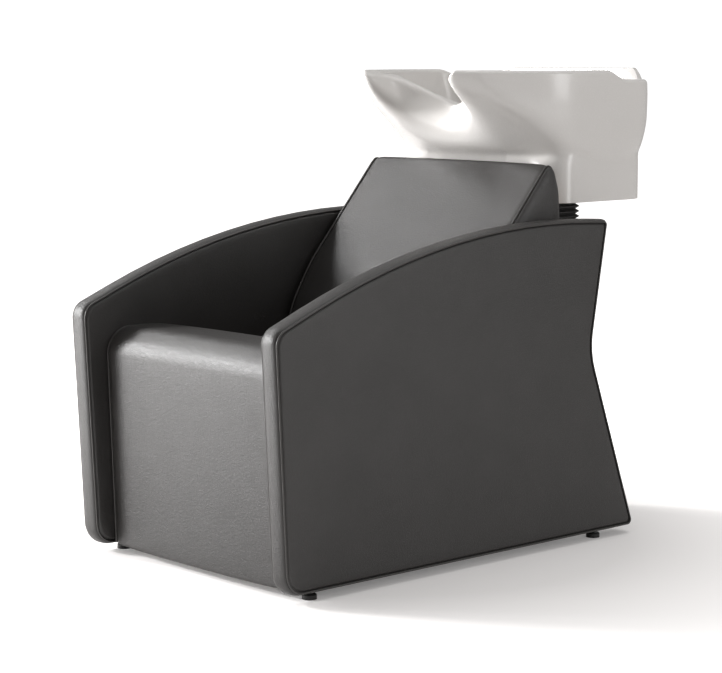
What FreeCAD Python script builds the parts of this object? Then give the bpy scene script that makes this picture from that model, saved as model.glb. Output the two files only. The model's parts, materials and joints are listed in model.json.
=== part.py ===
"""Salon hair washing chair with a tilting ceramic basin.

Millimetres, +Z up, +X to the sitter's left, +Y to the rear. While the pieces are made,
Y starts at the arms' front edge. The last step moves the origin under the middle of the
whole object, on the floor.
"""
import FreeCAD, Part
import math
import os

os.makedirs("parts", exist_ok=True)

Vector = FreeCAD.Vector

# Outlines: how much of its two runs a corner's arc may take
corner_room_share = 0.9

# Arms: upholstered side panels
arm_length = 981.0
arm_height = 648.0
arm_lift = 15.0
arm_thickness = 46.0
arm_gap = 538.0
arm_foot_radius = 40.0
arm_shoulder_radius = 32.0
arm_corner_radius = 6.0
arm_heel_radius = 8.0
arm_waist_radius = 150.0
arm_shoulder_height_share = 0.7485
arm_crest_point_share = (0.4587, 1.034)
arm_top_corner_share = (0.9052, 0.9954)
arm_waist_share = (0.8578, 0.5877)
arm_toe_share = 0.0259
seam_inset = 5.0
band_depth = 14.0
band_width = 38.0
band_crown_share = 0.74
panel_edge_run = 26.0
panel_edge_share = 0.35
piping_radius = 1.9
seam_clearance = 0.25

# Seat: one waterfall cushion over a plywood deck
seat_gap = 1.0
seat_front_foot = 67.0
seat_front_top = 50.0
seat_crest_height = 457.0
seat_crest_back = 175.0
seat_rear = 500.0
seat_rear_height = 370.0
seat_roll_radius = 95.0
seat_crest_radius = 150.0
seat_edge_radius = 8.0
seat_pad_thickness = 70.0
seat_apron_thickness = 45.0
seat_side_draw = 5.0
seat_side_run = 12.0
seat_crown = 3.0
side_fall_shares = ((0.0, 1.0), (0.3, 0.42), (0.65, 0.1), (1.0, 0.0))
crown_station_shares = (0.75, 0.4, 0.0)
deck_thickness = 18.0
apron_board_thickness = 18.0
bearer_setback = 12.0
board_side_gap = 14.0

# Back: reclined cushion on a wedge-shaped core, with padded side cheeks
back_half_width = 252.0
back_cheek_thickness = 12.0
back_face_points = ((497.0, 377.0), (527.0, 474.0), (577.0, 556.0), (776.0, 786.0))
back_face_radii = (10.0, 200.0, 350.0, 12.0)
back_rear_points = ((798.0, 720.0), (806.0, 600.0), (727.0, 600.0), (580.0, 350.0))
back_rear_radii = (100.0, 10.0, 12.0, 8.0)
back_pad_thickness = 60.0
back_board_thickness = 15.0
back_crown = 7.0
back_side_draw = 2.0
back_side_run = 16.0
back_cheek_draw = 14.0
back_cheek_middle_draw = 3.5
back_cheek_share = 0.6

# Rear closing panel between the arms
rear_panel_front = 812.0
rear_board_thickness = 12.0
rear_pad_thickness = 10.0
rear_panel_top = 646.0
rear_pad_draws = ((0.0, 0.0), (0.5, 1.0), (1.0, 8.0))

# Floor frame of welded rectangular tube
rail_width = 30.0
rail_height = 40.0
tube_wall = 2.0
rail_inner = 226.0
rail_bottom = 22.0
rail_front = 132.0
front_tube_y = 160.0
post_size = 25.0
seat_post_ys = (190.0, 440.0)
bearer_height = 25.0
arm_bolt_radius = 4.0
arm_bolt_length = 50.0
arm_bolt_head_radius = 7.0
arm_bolt_head_height = 5.0
arm_spacer_radius = 9.0
bolt_clearance = 0.3
arm_bolt_sites = ((230.0, 42.0), (520.0, 42.0), (760.0, 42.0))

# Levelling feet
foot_pad_radius = 14.0
foot_pad_height = 10.0
foot_stud_radius = 4.0
foot_stud_length = 33.0
foot_clearance = 0.08
foot_chamfer = 2.0
insert_radius = 7.0
insert_flange_radius = 11.0
insert_flange_height = 2.0
insert_length = 30.0
arm_foot_x = 286.0
arm_foot_ys = (104.0, 882.0)
apron_foot_x = 232.0

# Service column behind the seat
axis_y = 962.0
column_half_width = 120.0
column_half_depth = 90.0
sheet = 3.0
column_top = 636.0
top_plate_thickness = 5.0
top_opening_radius = 56.0
base_plate_thickness = 6.0
base_plate_margin = 24.0
base_plate_lip = 18.0
anchor_spacing_x = 276.0
anchor_spacing_y = 110.0
anchor_hole_radius = 5.5
base_opening_radius = 45.0
door_gap = 1.0
door_bottom = 24.0
door_top = 618.0
door_pin_radius = 3.0
door_pin_clearance = 0.08
door_knuckle_radius = 6.0
door_knuckle_length = 14.0
door_knuckle_gap = 0.4
door_hinge_set_in = 2.0
door_hinge_heights = (110.0, 530.0)
door_knob_height = 330.0
door_knob_x = 92.0
door_knob_radius = 12.0
door_knob_depth = 14.0
door_knob_round = 3.0
catch_size = 16.0
catch_clearance = 0.3

# Tilt mechanism under the basin
pivot_height = 664.0
pivot_x = 84.0
lug_thickness = 6.0
lug_width = 34.0
lug_head_radius = 12.0
pivot_radius = 5.0
pivot_clearance = 0.06
friction_disc_thickness = 1.5
friction_disc_radius = 11.0
pivot_head_radius = 8.5
pivot_head_height = 5.0
nut_sides = 6
tilt_plate_half_x = 100.0
tilt_plate_half_y = 62.0
tilt_plate_thickness = 4.0
tilt_plate_corner = 20.0
tilt_opening_radius = 42.0
basin_pad_thickness = 3.0
basin_bolt_radius = 4.0
basin_bolt_head_radius = 7.0
basin_bolt_head_height = 4.0
basin_bolt_x = 84.0
basin_bolt_y = 46.0
basin_bolt_reach = 12.0

# Rubber bellows round the mechanism
bellows_half_x = 118.0
bellows_half_y = 77.0
bellows_corner = 40.0
bellows_ribs = 4
bellows_rib_depth = 8.0
bellows_wall = 2.0
bellows_cuff_share = 0.06
bellows_crest_shares = (0.42, 0.58)

# Basin: a block under an overhanging bowl with two horns round the neck
basin_bottom = 690.0
basin_block_height = 95.0
basin_rim = 960.0
basin_wall = 15.0
basin_neck_y = 779.0
basin_flank_x = 108.0
basin_flank_y = 686.0
basin_horn_x = 121.0
basin_horn_y = 599.0
basin_half_width = 257.0
basin_side_y = 757.0
basin_rear = 1116.0
# Roundings of the outline at the neck, flank, horn, side and rear: at the rim, then at the foot
basin_rim_radii = (30.0, 40.0, 11.0, 200.0, 80.0)
basin_foot_radii = (150.0, 110.0, 60.0, 200.0, 80.0)
# Each level: height share, how much softer its roundings are, then as shares of basin_reach how
# far neck, flank, horn and side lie behind their rim places, how far the flank lies nearer the
# middle, how much narrower the half width is and how far the rear lies ahead
basin_reach = 136.0
basin_level_shares = (
    (0.0, 1.0, -0.08, 0.55, 0.98, 0.66, 0.40, 0.08, 0.09),
    (0.17, 0.8, -0.20, 0.40, 0.80, 0.54, 0.34, 0.03, 0.02),
    (0.37, 0.55, -0.15, 0.25, 0.52, 0.36, 0.24, 0.0, -0.01),
    (0.68, 0.25, 0.01, 0.13, 0.20, 0.15, 0.09, -0.01, -0.015),
    (1.0, 0.0, 0.0, 0.0, 0.0, 0.0, 0.0, 0.0, 0.0),
)
block_half_width = 240.0
block_front = 812.0
block_rear = 1103.0
block_corner = 66.0
saddle_depth = 86.0
saddle_half = 135.0
saddle_radius = 78.0
deck_drop = 20.0
deck_front = 1009.0
deck_ramp = 65.0
deck_wall = 15.0
bowl_rear = 1006.0
bowl_floor = 26.0
bowl_floor_half = 120.0
bowl_floor_front = 896.0
# Corners of the bowl's floor, as shares of its half width and of its length
bowl_floor_shares = ((0.0, 0.0), (0.5, 0.0), (0.85, 0.08), (1.0, 0.4), (1.0, 1.0))
bowl_rim_radii = (45.0, 25.0, 9.0, 185.0, 90.0)
bowl_floor_radii = (60.0, 60.0, 60.0, 60.0, 54.0)
# Bowl levels: height share, then how far it has gone to its floor in width, at the neck and
# at the other corners
bowl_level_shares = (
    (0.0, 1.0, 0.9, 1.0),
    (0.28, 0.4, 0.55, 0.84),
    (0.58, 0.12, 0.16, 0.33),
    (1.0, 0.0, 0.0, 0.0),
)
rear_hollow_half = 205.0
rear_hollow_corner = 20.0
upstand_half = 188.0
upstand_depth = 19.0
upstand_corner = 5.0
upstand_rise = 4.0
tap_hole_radius = 17.5
spray_hole_radius = 14.0
tap_hole_x = 60.0
tap_hole_y = 1052.0

# Waste fittings
drain_radius = 26.0
waste_flange_radius = 34.0
waste_flange_height = 3.0
waste_wall = 2.0
waste_tail_radius = 22.0
waste_tail_bottom = 606.0
waste_nut_radius = 33.0
waste_nut_height = 9.0
waste_washer_height = 3.0
thread_clearance = 0.1
trap_cap_radius = 27.0
trap_cap_height = 2.5
trap_basket_depth = 26.0
trap_basket_wall = 1.5
trap_clearance = 0.6
trap_slots = 8
trap_slot_width = 3.0
trap_slot_share = 0.4
trap_knob_radius = 5.0
trap_knob_height = 8.0
hose_wall = 2.0
hose_rib_depth = 2.6
hose_ribs = 18
hose_cuff = 20.0
hose_crest_shares = (0.35, 0.65)
clip_width = 9.0
clip_thickness = 1.2
bottle_radius = 38.0
bottle_top = 270.0
bottle_bottom = 120.0
bottle_wall = 3.0
bottle_neck_height = 26.0
bottle_cap_height = 18.0
cap_grips = 8
cap_grip_radius = 3.0
outlet_radius = 20.0
outlet_bottom = 14.0
outlet_height = 236.0
outlet_offset_x = 66.0
outlet_bend = 34.0
outlet_stop_bottom = 100.0
outlet_stop_height = 4.0
outlet_stop_radius = 23.0
bracket_height = 14.0
bracket_thickness = 4.0
overrun = 20.0

# Derived places shared by several pieces
arm_inner = arm_gap / 2
arm_middle = arm_inner + arm_thickness / 2
arm_outer = arm_inner + arm_thickness
half_band = band_width / 2
seat_half = arm_inner - seat_gap
cheek_outer = back_half_width + back_cheek_thickness
column_front = axis_y - column_half_depth
column_rear = axis_y + column_half_depth
plate_top = column_top + top_plate_thickness
rail_outer = rail_inner + rail_width
rail_top = rail_bottom + rail_height
apron_foot_y = seat_front_foot + seat_apron_thickness + apron_board_thickness / 2
hose_bore = waste_tail_radius + thread_clearance
block_top = basin_bottom + basin_block_height
bowl_floor_top = basin_bottom + bowl_floor
hinge_x = -column_half_width - door_knuckle_radius - door_knuckle_gap
hinge_y = column_rear - door_hinge_set_in
tilt_top = basin_bottom - basin_pad_thickness
tilt_bottom = tilt_top - tilt_plate_thickness
pieces = {}


def side_place(x):
    """Maps an outline point (y, z) into the plane at this x."""
    return lambda u, v: Vector(x, u, v)


def flat_place(z):
    """Maps an outline point (x, y) into the plane at this height."""
    return lambda u, v: Vector(u, v, z)


def front_place(y):
    """Maps an outline point (x, z) into the plane at this y."""
    return lambda u, v: Vector(u, y, v)


def rounded(points, radii, place):
    """A closed wire through the corner points, each rounded by its radius.

    A radius of None, and any radius that its two runs can't hold, is as large as they allow.
    """
    count = len(points)
    corners = []
    for i in range(count):
        here = Vector(points[i][0], points[i][1], 0)
        before = Vector(points[i - 1][0], points[i - 1][1], 0) - here
        after = Vector(points[(i + 1) % count][0], points[(i + 1) % count][1], 0) - here
        half_angle = before.getAngle(after) / 2
        room = corner_room_share * min(before.Length, after.Length) / 2
        if radii[i] is None:
            room = 2 * room
        wanted = room if radii[i] is None else radii[i] / math.tan(half_angle)
        reach = min(wanted, room)
        before.normalize()
        after.normalize()
        start = here + before * reach
        end = here + after * reach
        sagitta = reach * (1 / math.cos(half_angle) - math.tan(half_angle))
        middle = here + (before + after).normalize() * sagitta
        corners.append((start, middle, end))
    edges = []
    for i in range(count):
        start, middle, end = (place(p.x, p.y) for p in corners[i])
        following = corners[(i + 1) % count][0]
        edges.append(Part.Arc(start, middle, end).toShape())
        edges.append(Part.LineSegment(end, place(following.x, following.y)).toShape())
    return Part.Wire(edges)


def plate(wire, depth):
    """A solid made by pushing the closed wire along the vector."""
    return Part.Face(wire).extrude(depth)


def drawn_in(points, amount):
    """The closed outline's corners moved in by this amount, mitred at each corner."""
    count = len(points)
    area = sum(points[i - 1][0] * points[i][1] - points[i][0] * points[i - 1][1] for i in range(count))
    sign = 1 if area > 0 else -1
    moved = []
    for i in range(count):
        here = Vector(points[i][0], points[i][1], 0)
        arriving = here - Vector(points[i - 1][0], points[i - 1][1], 0)
        leaving = Vector(points[(i + 1) % count][0], points[(i + 1) % count][1], 0) - here
        arriving.normalize()
        leaving.normalize()
        first = Vector(-arriving.y, arriving.x, 0) * sign
        second = Vector(-leaving.y, leaving.x, 0) * sign
        middle = first + second
        middle.normalize()
        shifted = here + middle * (amount / middle.dot(first))
        moved.append((shifted.x, shifted.y))
    return moved


def loft(wires, ruled=False):
    """A solid through closed wires."""
    return Part.makeLoft(wires, True, ruled)


def box(x0, x1, y0, y1, z0, z1):
    return Part.makeBox(x1 - x0, y1 - y0, z1 - z0, Vector(x0, y0, z0))


def rod(radius, start, direction):
    """A cylinder from the start point along the direction's full length."""
    return Part.makeCylinder(radius, direction.Length, start, direction)


def up(length):
    return Vector(0, 0, length)


def along_x(length):
    return Vector(length, 0, 0)


def along_y(length):
    return Vector(0, length, 0)


def mirrored(shape):
    return shape.mirror(Vector(0, 0, 0), Vector(1, 0, 0))


def add(name, *shapes):
    """Keeps one named piece, which may be several separate solids."""
    solids = [solid for shape in shapes for solid in shape.Solids]
    pieces[name] = solids[0] if len(solids) == 1 else Part.makeCompound(solids)


def add_pair(name, shape):
    """Keeps a piece for each side: +X is the sitter's left."""
    add("left_" + name, shape)
    add("right_" + name, mirrored(shape))


def add_both(name, *shapes):
    """Keeps the pieces of both sides as one group."""
    add(name, *shapes, *[mirrored(shape) for shape in shapes])


# Arms


def arm_outline(x, inset):
    """The arm's side outline: toe, shoulder, long crest, top corner, waist and heel."""
    def at(share):
        return (share[0] * arm_length, arm_lift + share[1] * arm_height)
    points = (
        (arm_toe_share * arm_length, arm_lift),
        (0, arm_lift + arm_shoulder_height_share * arm_height),
        at(arm_crest_point_share),
        at(arm_top_corner_share),
        at(arm_waist_share),
        (arm_length, arm_lift),
    )
    radii = (arm_foot_radius, arm_shoulder_radius, None, arm_corner_radius,
             arm_waist_radius, arm_heel_radius)
    return rounded(drawn_in(points, inset), radii, side_place(x))


def make_arms():
    core = plate(arm_outline(arm_middle - half_band, band_depth), along_x(band_width))
    stations = (-1, -band_crown_share, 0, band_crown_share, 1)
    crown = (1, (1 - band_crown_share) * 2, 0, (1 - band_crown_share) * 2, 1)
    slab = loft([arm_outline(arm_middle + s * half_band, seam_inset * c)
                 for s, c in zip(stations, crown)])
    hollow = plate(arm_outline(arm_middle - half_band - overrun, band_depth),
                   along_x(band_width + 2 * overrun))
    band = slab.cut(hollow)
    rise = arm_thickness / 2 - half_band
    panels = []
    for side in (1, -1):
        seam_x = arm_middle + side * half_band
        panels.append(loft([
            arm_outline(seam_x, seam_inset),
            arm_outline(seam_x + side * rise * (1 - panel_edge_share),
                        seam_inset + panel_edge_run * panel_edge_share),
            arm_outline(seam_x + side * rise, seam_inset + panel_edge_run),
        ]))
    for bore in arm_foot_bores():
        core = core.cut(bore)
        band = band.cut(bore)
    for bore in arm_bolt_shanks(bolt_clearance):
        core = core.cut(bore)
        panels[1] = panels[1].cut(bore)
    add_pair("arm_core", core)
    add_pair("arm_edge_band", band)
    add_pair("arm_outer_panel", panels[0])
    add_pair("arm_inner_panel", panels[1])
    edge_share = 1 - band_crown_share
    stand = cord_stand((-edge_share * half_band, seam_inset * (1 - 2 * edge_share)),
                       (rise * (1 - panel_edge_share), -panel_edge_run * panel_edge_share))
    cords = []
    for side in (1, -1):
        path = arm_outline(arm_middle + side * (half_band + stand.x), seam_inset - stand.y)
        cords.append(tube_along(path, piping_radius))
    add_both("arm_piping", *cords)


def arm_foot_bores():
    """Blind holes for the threaded inserts in the arm's lower edge."""
    return [rod(insert_radius, Vector(arm_foot_x, y, 0), up(arm_lift + insert_length))
            for y in arm_foot_ys]


def cord_stand(inward_run, outward_run):
    """How far a cord's centre stands from a seam, across it and out of it.

    The runs are the two faces' directions away from the seam, and the cord rests on both.
    """
    first = Vector(inward_run[1], -inward_run[0], 0).normalize()
    second = Vector(-outward_run[1], outward_run[0], 0).normalize()
    middle = (first + second).normalize()
    return middle * ((piping_radius + seam_clearance) / middle.dot(first))


def tube_along(path, radius):
    """A round cord along a closed or open wire."""
    edge = path.OrderedEdges[0]
    start = edge.valueAt(edge.FirstParameter)
    direction = edge.tangentAt(edge.FirstParameter)
    ring = Part.Wire([Part.Circle(start, direction, radius).toShape()])
    return path.makePipeShell([ring], True, False)


# Seat


def seat_slope():
    run = seat_rear - seat_crest_back
    return math.atan2(seat_crest_height - seat_rear_height, run)


def crowned_stations(half, run, draw, crown):
    """Places across a cushion, each with how far its outline is drawn in there.

    The sides fall away by the draw over the run, and the middle swells by the crown.
    """
    edge = [(1 - run * share / half, draw * drop) for share, drop in side_fall_shares]
    middle = [(share, 0) for share in crown_station_shares]
    right = [(place * half, fall - crown * (1 - place ** 2)) for place, fall in edge + middle]
    left = [(-x, inset) for x, inset in right if x > 0]
    return sorted(set(right + left))


def seat_profile():
    """Corners and radii of the waterfall cushion, from the front foot over the crest."""
    slope = seat_slope()
    drop = Vector(-math.sin(slope), -math.cos(slope), 0) * seat_pad_thickness
    inner_y = seat_front_foot + seat_apron_thickness
    under = seat_rear_height + drop.y
    inner_z = under + (seat_rear + drop.x - inner_y) * math.tan(slope)
    points = (
        (seat_front_foot, arm_lift),
        (seat_front_top, seat_crest_height),
        (seat_crest_back, seat_crest_height),
        (seat_rear, seat_rear_height),
        (seat_rear + drop.x, under),
        (inner_y, inner_z),
        (inner_y, arm_lift),
    )
    radii = (seat_edge_radius, seat_roll_radius, seat_crest_radius, seat_edge_radius,
             seat_edge_radius, seat_edge_radius, seat_edge_radius)
    return points, radii


def make_seat():
    points, radii = seat_profile()
    stations = crowned_stations(seat_half, seat_side_run, seat_side_draw, seat_crown)
    cushion = loft([rounded(drawn_in(points, d), radii, side_place(x)) for x, d in stations])
    inner_y, inner_z = points[5]
    under_y, under_z = points[4]
    far_y = seat_rear + overrun
    far_z = under_z - (far_y - under_y) * math.tan(seat_slope())
    space = ((inner_y, 0), (inner_y, inner_z), (under_y, under_z), (far_y, far_z), (far_y, 0), (inner_y, 0))
    under_seat = plate(Part.makePolygon([Vector(-arm_inner, y, z) for y, z in space]), along_x(arm_gap))
    add("seat_cushion", cushion.cut(under_seat))
    (outer, top_fall), (place, fall), (inner, low_fall) = side_fall_shares[:3]
    slant = seat_side_draw * (top_fall - low_fall) / (seat_side_run * (inner - outer))
    stand = (piping_radius + seam_clearance) * math.hypot(1, slant)
    swelled = [radius + stand for radius in radii]
    outline = rounded(drawn_in(points, seat_side_draw * fall - stand), swelled,
                      side_place(seat_half - seat_side_run * place))
    cord = tube_along(Part.Wire(outline.OrderedEdges[1:6]), piping_radius)
    add("seat_piping", cord, mirrored(cord))
    half = arm_inner - board_side_gap
    deck_front_y = inner_y + apron_board_thickness
    upright = deck_thickness / math.cos(seat_slope())
    add("seat_deck", side_strip(-half, 2 * half, deck_front_y, under_y, upright, 0))
    apron_top = deck_under(inner_y) + upright - seat_edge_radius
    apron = box(-half, half, inner_y, deck_front_y, arm_lift, apron_top)
    for x in (-apron_foot_x, apron_foot_x):
        apron = apron.cut(rod(insert_radius, Vector(x, apron_foot_y, 0), up(arm_lift + insert_length)))
    add("apron_board", apron)


# Back


def parallel(points, distance):
    """The open run of points moved to its right by a distance, with mitred corners."""
    moved = []
    for i, (y, z) in enumerate(points):
        here = Vector(y, z, 0)
        normals = []
        for other, sign in ((i - 1, 1), (i + 1, -1)):
            if 0 <= other < len(points):
                run = (here - Vector(points[other][0], points[other][1], 0)) * sign
                run.normalize()
                normals.append(Vector(run.y, -run.x, 0))
        middle = normals[0] + normals[-1]
        middle.normalize()
        shifted = here + middle * (distance / middle.dot(normals[0]))
        moved.append((shifted.x, shifted.y))
    return moved


def back_outline(x, inset, forward=0.0, swell=0.0):
    """Side outline of the back: reclined face, top, rear and underside."""
    points = tuple((y - forward, z) for y, z in back_face_points) + back_rear_points
    radii = [radius + swell for radius in back_face_radii + back_rear_radii]
    return rounded(drawn_in(points, inset), radii, side_place(x))


def back_zone(near, far):
    """The layer of the back between two depths behind its uncrowned face, over the full width."""
    front = parallel(back_face_points, near)
    rear = parallel(back_face_points, far)
    ring = front + rear[::-1] + front[:1]
    wire = Part.makePolygon([Vector(-cheek_outer, y, z) for y, z in ring])
    return plate(wire, along_x(2 * cheek_outer))


def make_back():
    stations = crowned_stations(back_half_width, back_side_run, back_side_draw, back_crown)
    slab = loft([back_outline(x, max(inset, 0), max(-inset, 0)) for x, inset in stations])
    front_layer = back_zone(-overrun, back_pad_thickness)
    board_layer = back_zone(back_pad_thickness, back_pad_thickness + back_board_thickness)
    add("back_cushion", slab.common(front_layer))
    add("back_board", slab.common(board_layer))
    add("back_core", slab.cut(front_layer).cut(board_layer))
    middle_run = back_cheek_thickness * back_cheek_share
    cheek = loft([back_outline(back_half_width, back_side_draw),
                  back_outline(back_half_width + middle_run, back_cheek_middle_draw),
                  back_outline(cheek_outer, back_cheek_draw)])
    add_pair("back_cheek", cheek)
    place, fall = side_fall_shares[1]
    stand = cord_stand((-back_side_run * place, back_side_draw * (1 - fall)),
                       (middle_run, back_side_draw - back_cheek_middle_draw))
    seam = back_outline(back_half_width + stand.x, back_side_draw - stand.y, swell=stand.y)
    cord = tube_along(Part.Wire(seam.OrderedEdges[1:6]), piping_radius)
    add("back_piping", cord, mirrored(cord))


# Rear closing panel


def make_rear_panel():
    pad_front = rear_panel_front + rear_board_thickness
    half = arm_inner - seat_gap
    bottom = rail_top + seat_gap
    add("rear_board", box(-half, half, rear_panel_front, pad_front, bottom, rear_panel_top))
    corners = ((-half, bottom), (-half, rear_panel_top), (half, rear_panel_top), (half, bottom))
    radii = (seat_edge_radius,) * 4
    add("rear_panel_pad", loft([
        rounded(drawn_in(corners, draw), radii, front_place(pad_front + depth * rear_pad_thickness))
        for depth, draw in rear_pad_draws]))


# Floor frame


def hollow_box(x0, x1, y0, y1, z0, z1, axis):
    """A rectangular tube open at both ends along one axis, 0 for X, 1 for Y or 2 for Z."""
    bounds = ((x0, x1), (y0, y1), (z0, z1))
    inner = [[low + tube_wall, high - tube_wall] for low, high in bounds]
    inner[axis] = [bounds[axis][0] - overrun, bounds[axis][1] + overrun]
    return box(x0, x1, y0, y1, z0, z1).cut(box(*inner[0], *inner[1], *inner[2]))


def arm_bolt_shanks(clearance):
    """Shanks, or their holes, of the bolts that hold the left arm to its rail."""
    length = along_x(arm_bolt_length + clearance)
    return [rod(arm_bolt_radius + clearance, Vector(rail_outer - tube_wall, y, z), length)
            for y, z in arm_bolt_sites]


def deck_under(y):
    """Height of the seat deck's lower face at this y."""
    slope = seat_slope()
    inner_y, inner_z = seat_profile()[0][5]
    return inner_z - (y - inner_y) * math.tan(slope) - deck_thickness / math.cos(slope)


def side_strip(x, depth, first, last, above, below):
    """A bar along X whose side follows the deck's slope, between two offsets from its lower face."""
    ring = ((first, deck_under(first) + above), (last, deck_under(last) + above),
            (last, deck_under(last) + below), (first, deck_under(first) + below))
    wire = Part.makePolygon([Vector(x, y, z) for y, z in ring + ring[:1]])
    return plate(wire, along_x(depth))


def make_frame():
    rail = hollow_box(rail_inner, rail_outer, rail_front, column_front, rail_bottom, rail_top, 1)
    for bore in arm_bolt_shanks(bolt_clearance):
        rail = rail.cut(bore)
    add_pair("side_rail", rail.multiFuse(arm_spacers()))
    add("cross_tubes", *[hollow_box(-rail_inner, rail_inner, y - rail_width / 2, y + rail_width / 2,
                                    rail_bottom, rail_top, 0)
                         for y in (front_tube_y, column_front - rail_width / 2)])
    post_x = rail_inner + (rail_width - post_size) / 2
    first = seat_front_foot + seat_apron_thickness + apron_board_thickness + bearer_setback
    last = seat_rear - seat_pad_thickness / 2
    above = side_strip(post_x - overrun, post_size + 2 * overrun, first - overrun, last + overrun,
                       seat_crest_height, -bearer_height)
    posts = [hollow_box(post_x, post_x + post_size, y - post_size / 2, y + post_size / 2, rail_top,
                        seat_crest_height, 2).cut(above) for y in seat_post_ys]
    add_both("seat_posts", *posts)
    add_both("seat_bearers", side_strip(post_x, post_size, first, last, 0, -bearer_height))
    stay_top = back_rear_points[1][1] - top_plate_thickness - seam_clearance
    stay_y = (back_rear_points[1][0] + back_rear_points[2][0]) / 2
    stay = hollow_box(rail_inner, rail_inner + post_size, stay_y - post_size / 2, stay_y + post_size / 2,
                      rail_top, stay_top, 2)
    flange = box(rail_inner - post_size, rail_inner + post_size, stay_y - post_size, stay_y + post_size,
                 stay_top, stay_top + top_plate_thickness)
    add_both("back_stays", stay.fuse(flange))
    bolts = []
    for y, z in arm_bolt_sites:
        head = rod(arm_bolt_head_radius, Vector(rail_outer - tube_wall - arm_bolt_head_height, y, z),
                   along_x(arm_bolt_head_height))
        shank = rod(arm_bolt_radius, Vector(rail_outer - tube_wall, y, z), along_x(arm_bolt_length))
        bolts.append(head.fuse(shank))
    add_both("arm_bolts", *bolts)


def arm_spacers():
    """Bushes welded to the rail, which stand the arm off it."""
    spacers = []
    for y, z in arm_bolt_sites:
        start = Vector(rail_outer, y, z)
        length = along_x(arm_inner - rail_outer - seam_clearance)
        spacers.append(rod(arm_spacer_radius, start, length).cut(
            rod(arm_bolt_radius + bolt_clearance, start, length)))
    return spacers


# Levelling feet


def foot_sites():
    """Name, x, y and the height of the surface that the insert is pressed up into."""
    sites = []
    for side, sign in (("left", 1), ("right", -1)):
        sites.append((side + "_front_foot", sign * arm_foot_x, arm_foot_ys[0], arm_lift))
        sites.append((side + "_rear_foot", sign * arm_foot_x, arm_foot_ys[1], arm_lift))
        sites.append((side + "_apron_foot", sign * apron_foot_x, apron_foot_y, arm_lift))
    return sites


def make_feet():
    inserts = []
    for name, x, y, base in foot_sites():
        pad = rod(foot_pad_radius, Vector(x, y, 0), up(foot_pad_height))
        pad = pad.makeChamfer(foot_chamfer, [pad.Edges[0]])
        stud = rod(foot_stud_radius, Vector(x, y, foot_pad_height), up(foot_stud_length))
        add(name, pad.fuse(stud))
        body = rod(insert_radius, Vector(x, y, base), up(insert_length))
        flange = rod(insert_flange_radius, Vector(x, y, base - insert_flange_height),
                     up(insert_flange_height))
        bore = rod(foot_stud_radius + foot_clearance, Vector(x, y, 0), up(2 * foot_stud_length))
        inserts.append(body.fuse(flange).cut(bore))
    add("foot_inserts", *inserts)


# Service column


def centred_outline(half_x, half_y, corner, z):
    """A rounded rectangle round the tilt axis, lying flat at this height."""
    points = ((-half_x, axis_y - half_y), (half_x, axis_y - half_y),
              (half_x, axis_y + half_y), (-half_x, axis_y + half_y))
    return rounded(points, (corner,) * 4, flat_place(z))


def make_column():
    half = column_half_width
    outer = box(-half, half, column_front, column_rear, base_plate_thickness, column_top)
    inner = box(sheet - half, half - sheet, column_front + sheet, column_rear + overrun,
                base_plate_thickness - overrun, column_top + overrun)
    add("column_shell", outer.cut(inner).multiFuse(hinge_knuckles()))
    top = box(-half, half, column_front, column_rear, column_top, plate_top)
    post = lug(pivot_x, plate_top, lug_width / 2)
    top = top.cut(rod(top_opening_radius, Vector(0, axis_y, 0), up(2 * plate_top)))
    add("column_top_plate", top.multiFuse([post, mirrored(post)]))
    half_x = anchor_spacing_x / 2 + base_plate_margin
    half_y = column_half_depth + base_plate_lip
    base = plate(centred_outline(half_x, half_y, base_plate_margin, 0), up(base_plate_thickness))
    for x in (-anchor_spacing_x / 2, anchor_spacing_x / 2):
        for y in (axis_y - anchor_spacing_y / 2, axis_y + anchor_spacing_y / 2):
            base = base.cut(rod(anchor_hole_radius, Vector(x, y, 0), up(overrun)))
    opening = rod(base_opening_radius, Vector(outlet_offset_x, axis_y, 0), up(overrun))
    add("column_base_plate", base.cut(opening))


def hinge_knuckles():
    """Barrels welded to the column's side, above and below each of the door's own barrels."""
    barrels = []
    step = door_knuckle_length + door_knuckle_gap
    for low in [height + side * step for height in door_hinge_heights for side in (-1, 1)]:
        start = Vector(hinge_x, hinge_y, low)
        barrel = rod(door_knuckle_radius, start, up(door_knuckle_length))
        foot = box(hinge_x, -column_half_width, hinge_y - door_knuckle_radius, hinge_y,
                   low, low + door_knuckle_length)
        bore = rod(door_pin_radius + door_pin_clearance, start, up(door_knuckle_length))
        barrels.append(barrel.fuse(foot).cut(bore))
    return barrels


def make_door():
    leaf_front = column_rear + door_gap / 2
    leaf_rear = leaf_front + sheet
    half = column_half_width - door_gap
    leaf = box(-half, half, leaf_front, leaf_rear, door_bottom, door_top)
    pins = []
    for height in door_hinge_heights:
        start = Vector(hinge_x, hinge_y, height)
        step = up(door_knuckle_length + door_knuckle_gap)
        tab = box(hinge_x, -half, leaf_front, leaf_rear, height, height + door_knuckle_length)
        leaf = leaf.fuse(tab).fuse(rod(door_knuckle_radius, start, up(door_knuckle_length)))
        leaf = leaf.cut(rod(door_pin_radius + door_pin_clearance, start, up(door_knuckle_length)))
        pins.append(rod(door_pin_radius, start - step, step * 2 + up(door_knuckle_length)))
    add("service_door", leaf)
    add("door_hinge_pins", *pins)
    knob = rod(door_knob_radius, Vector(door_knob_x, leaf_rear, door_knob_height), along_y(door_knob_depth))
    add("door_knob", knob.makeFillet(door_knob_round, [knob.Edges[0]]))
    inner_x = column_half_width - sheet
    add("door_catch", box(inner_x - catch_size, inner_x, column_rear - catch_size,
                          leaf_front - catch_clearance,
                          door_knob_height - catch_size, door_knob_height + catch_size))


# Tilt mechanism


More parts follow.
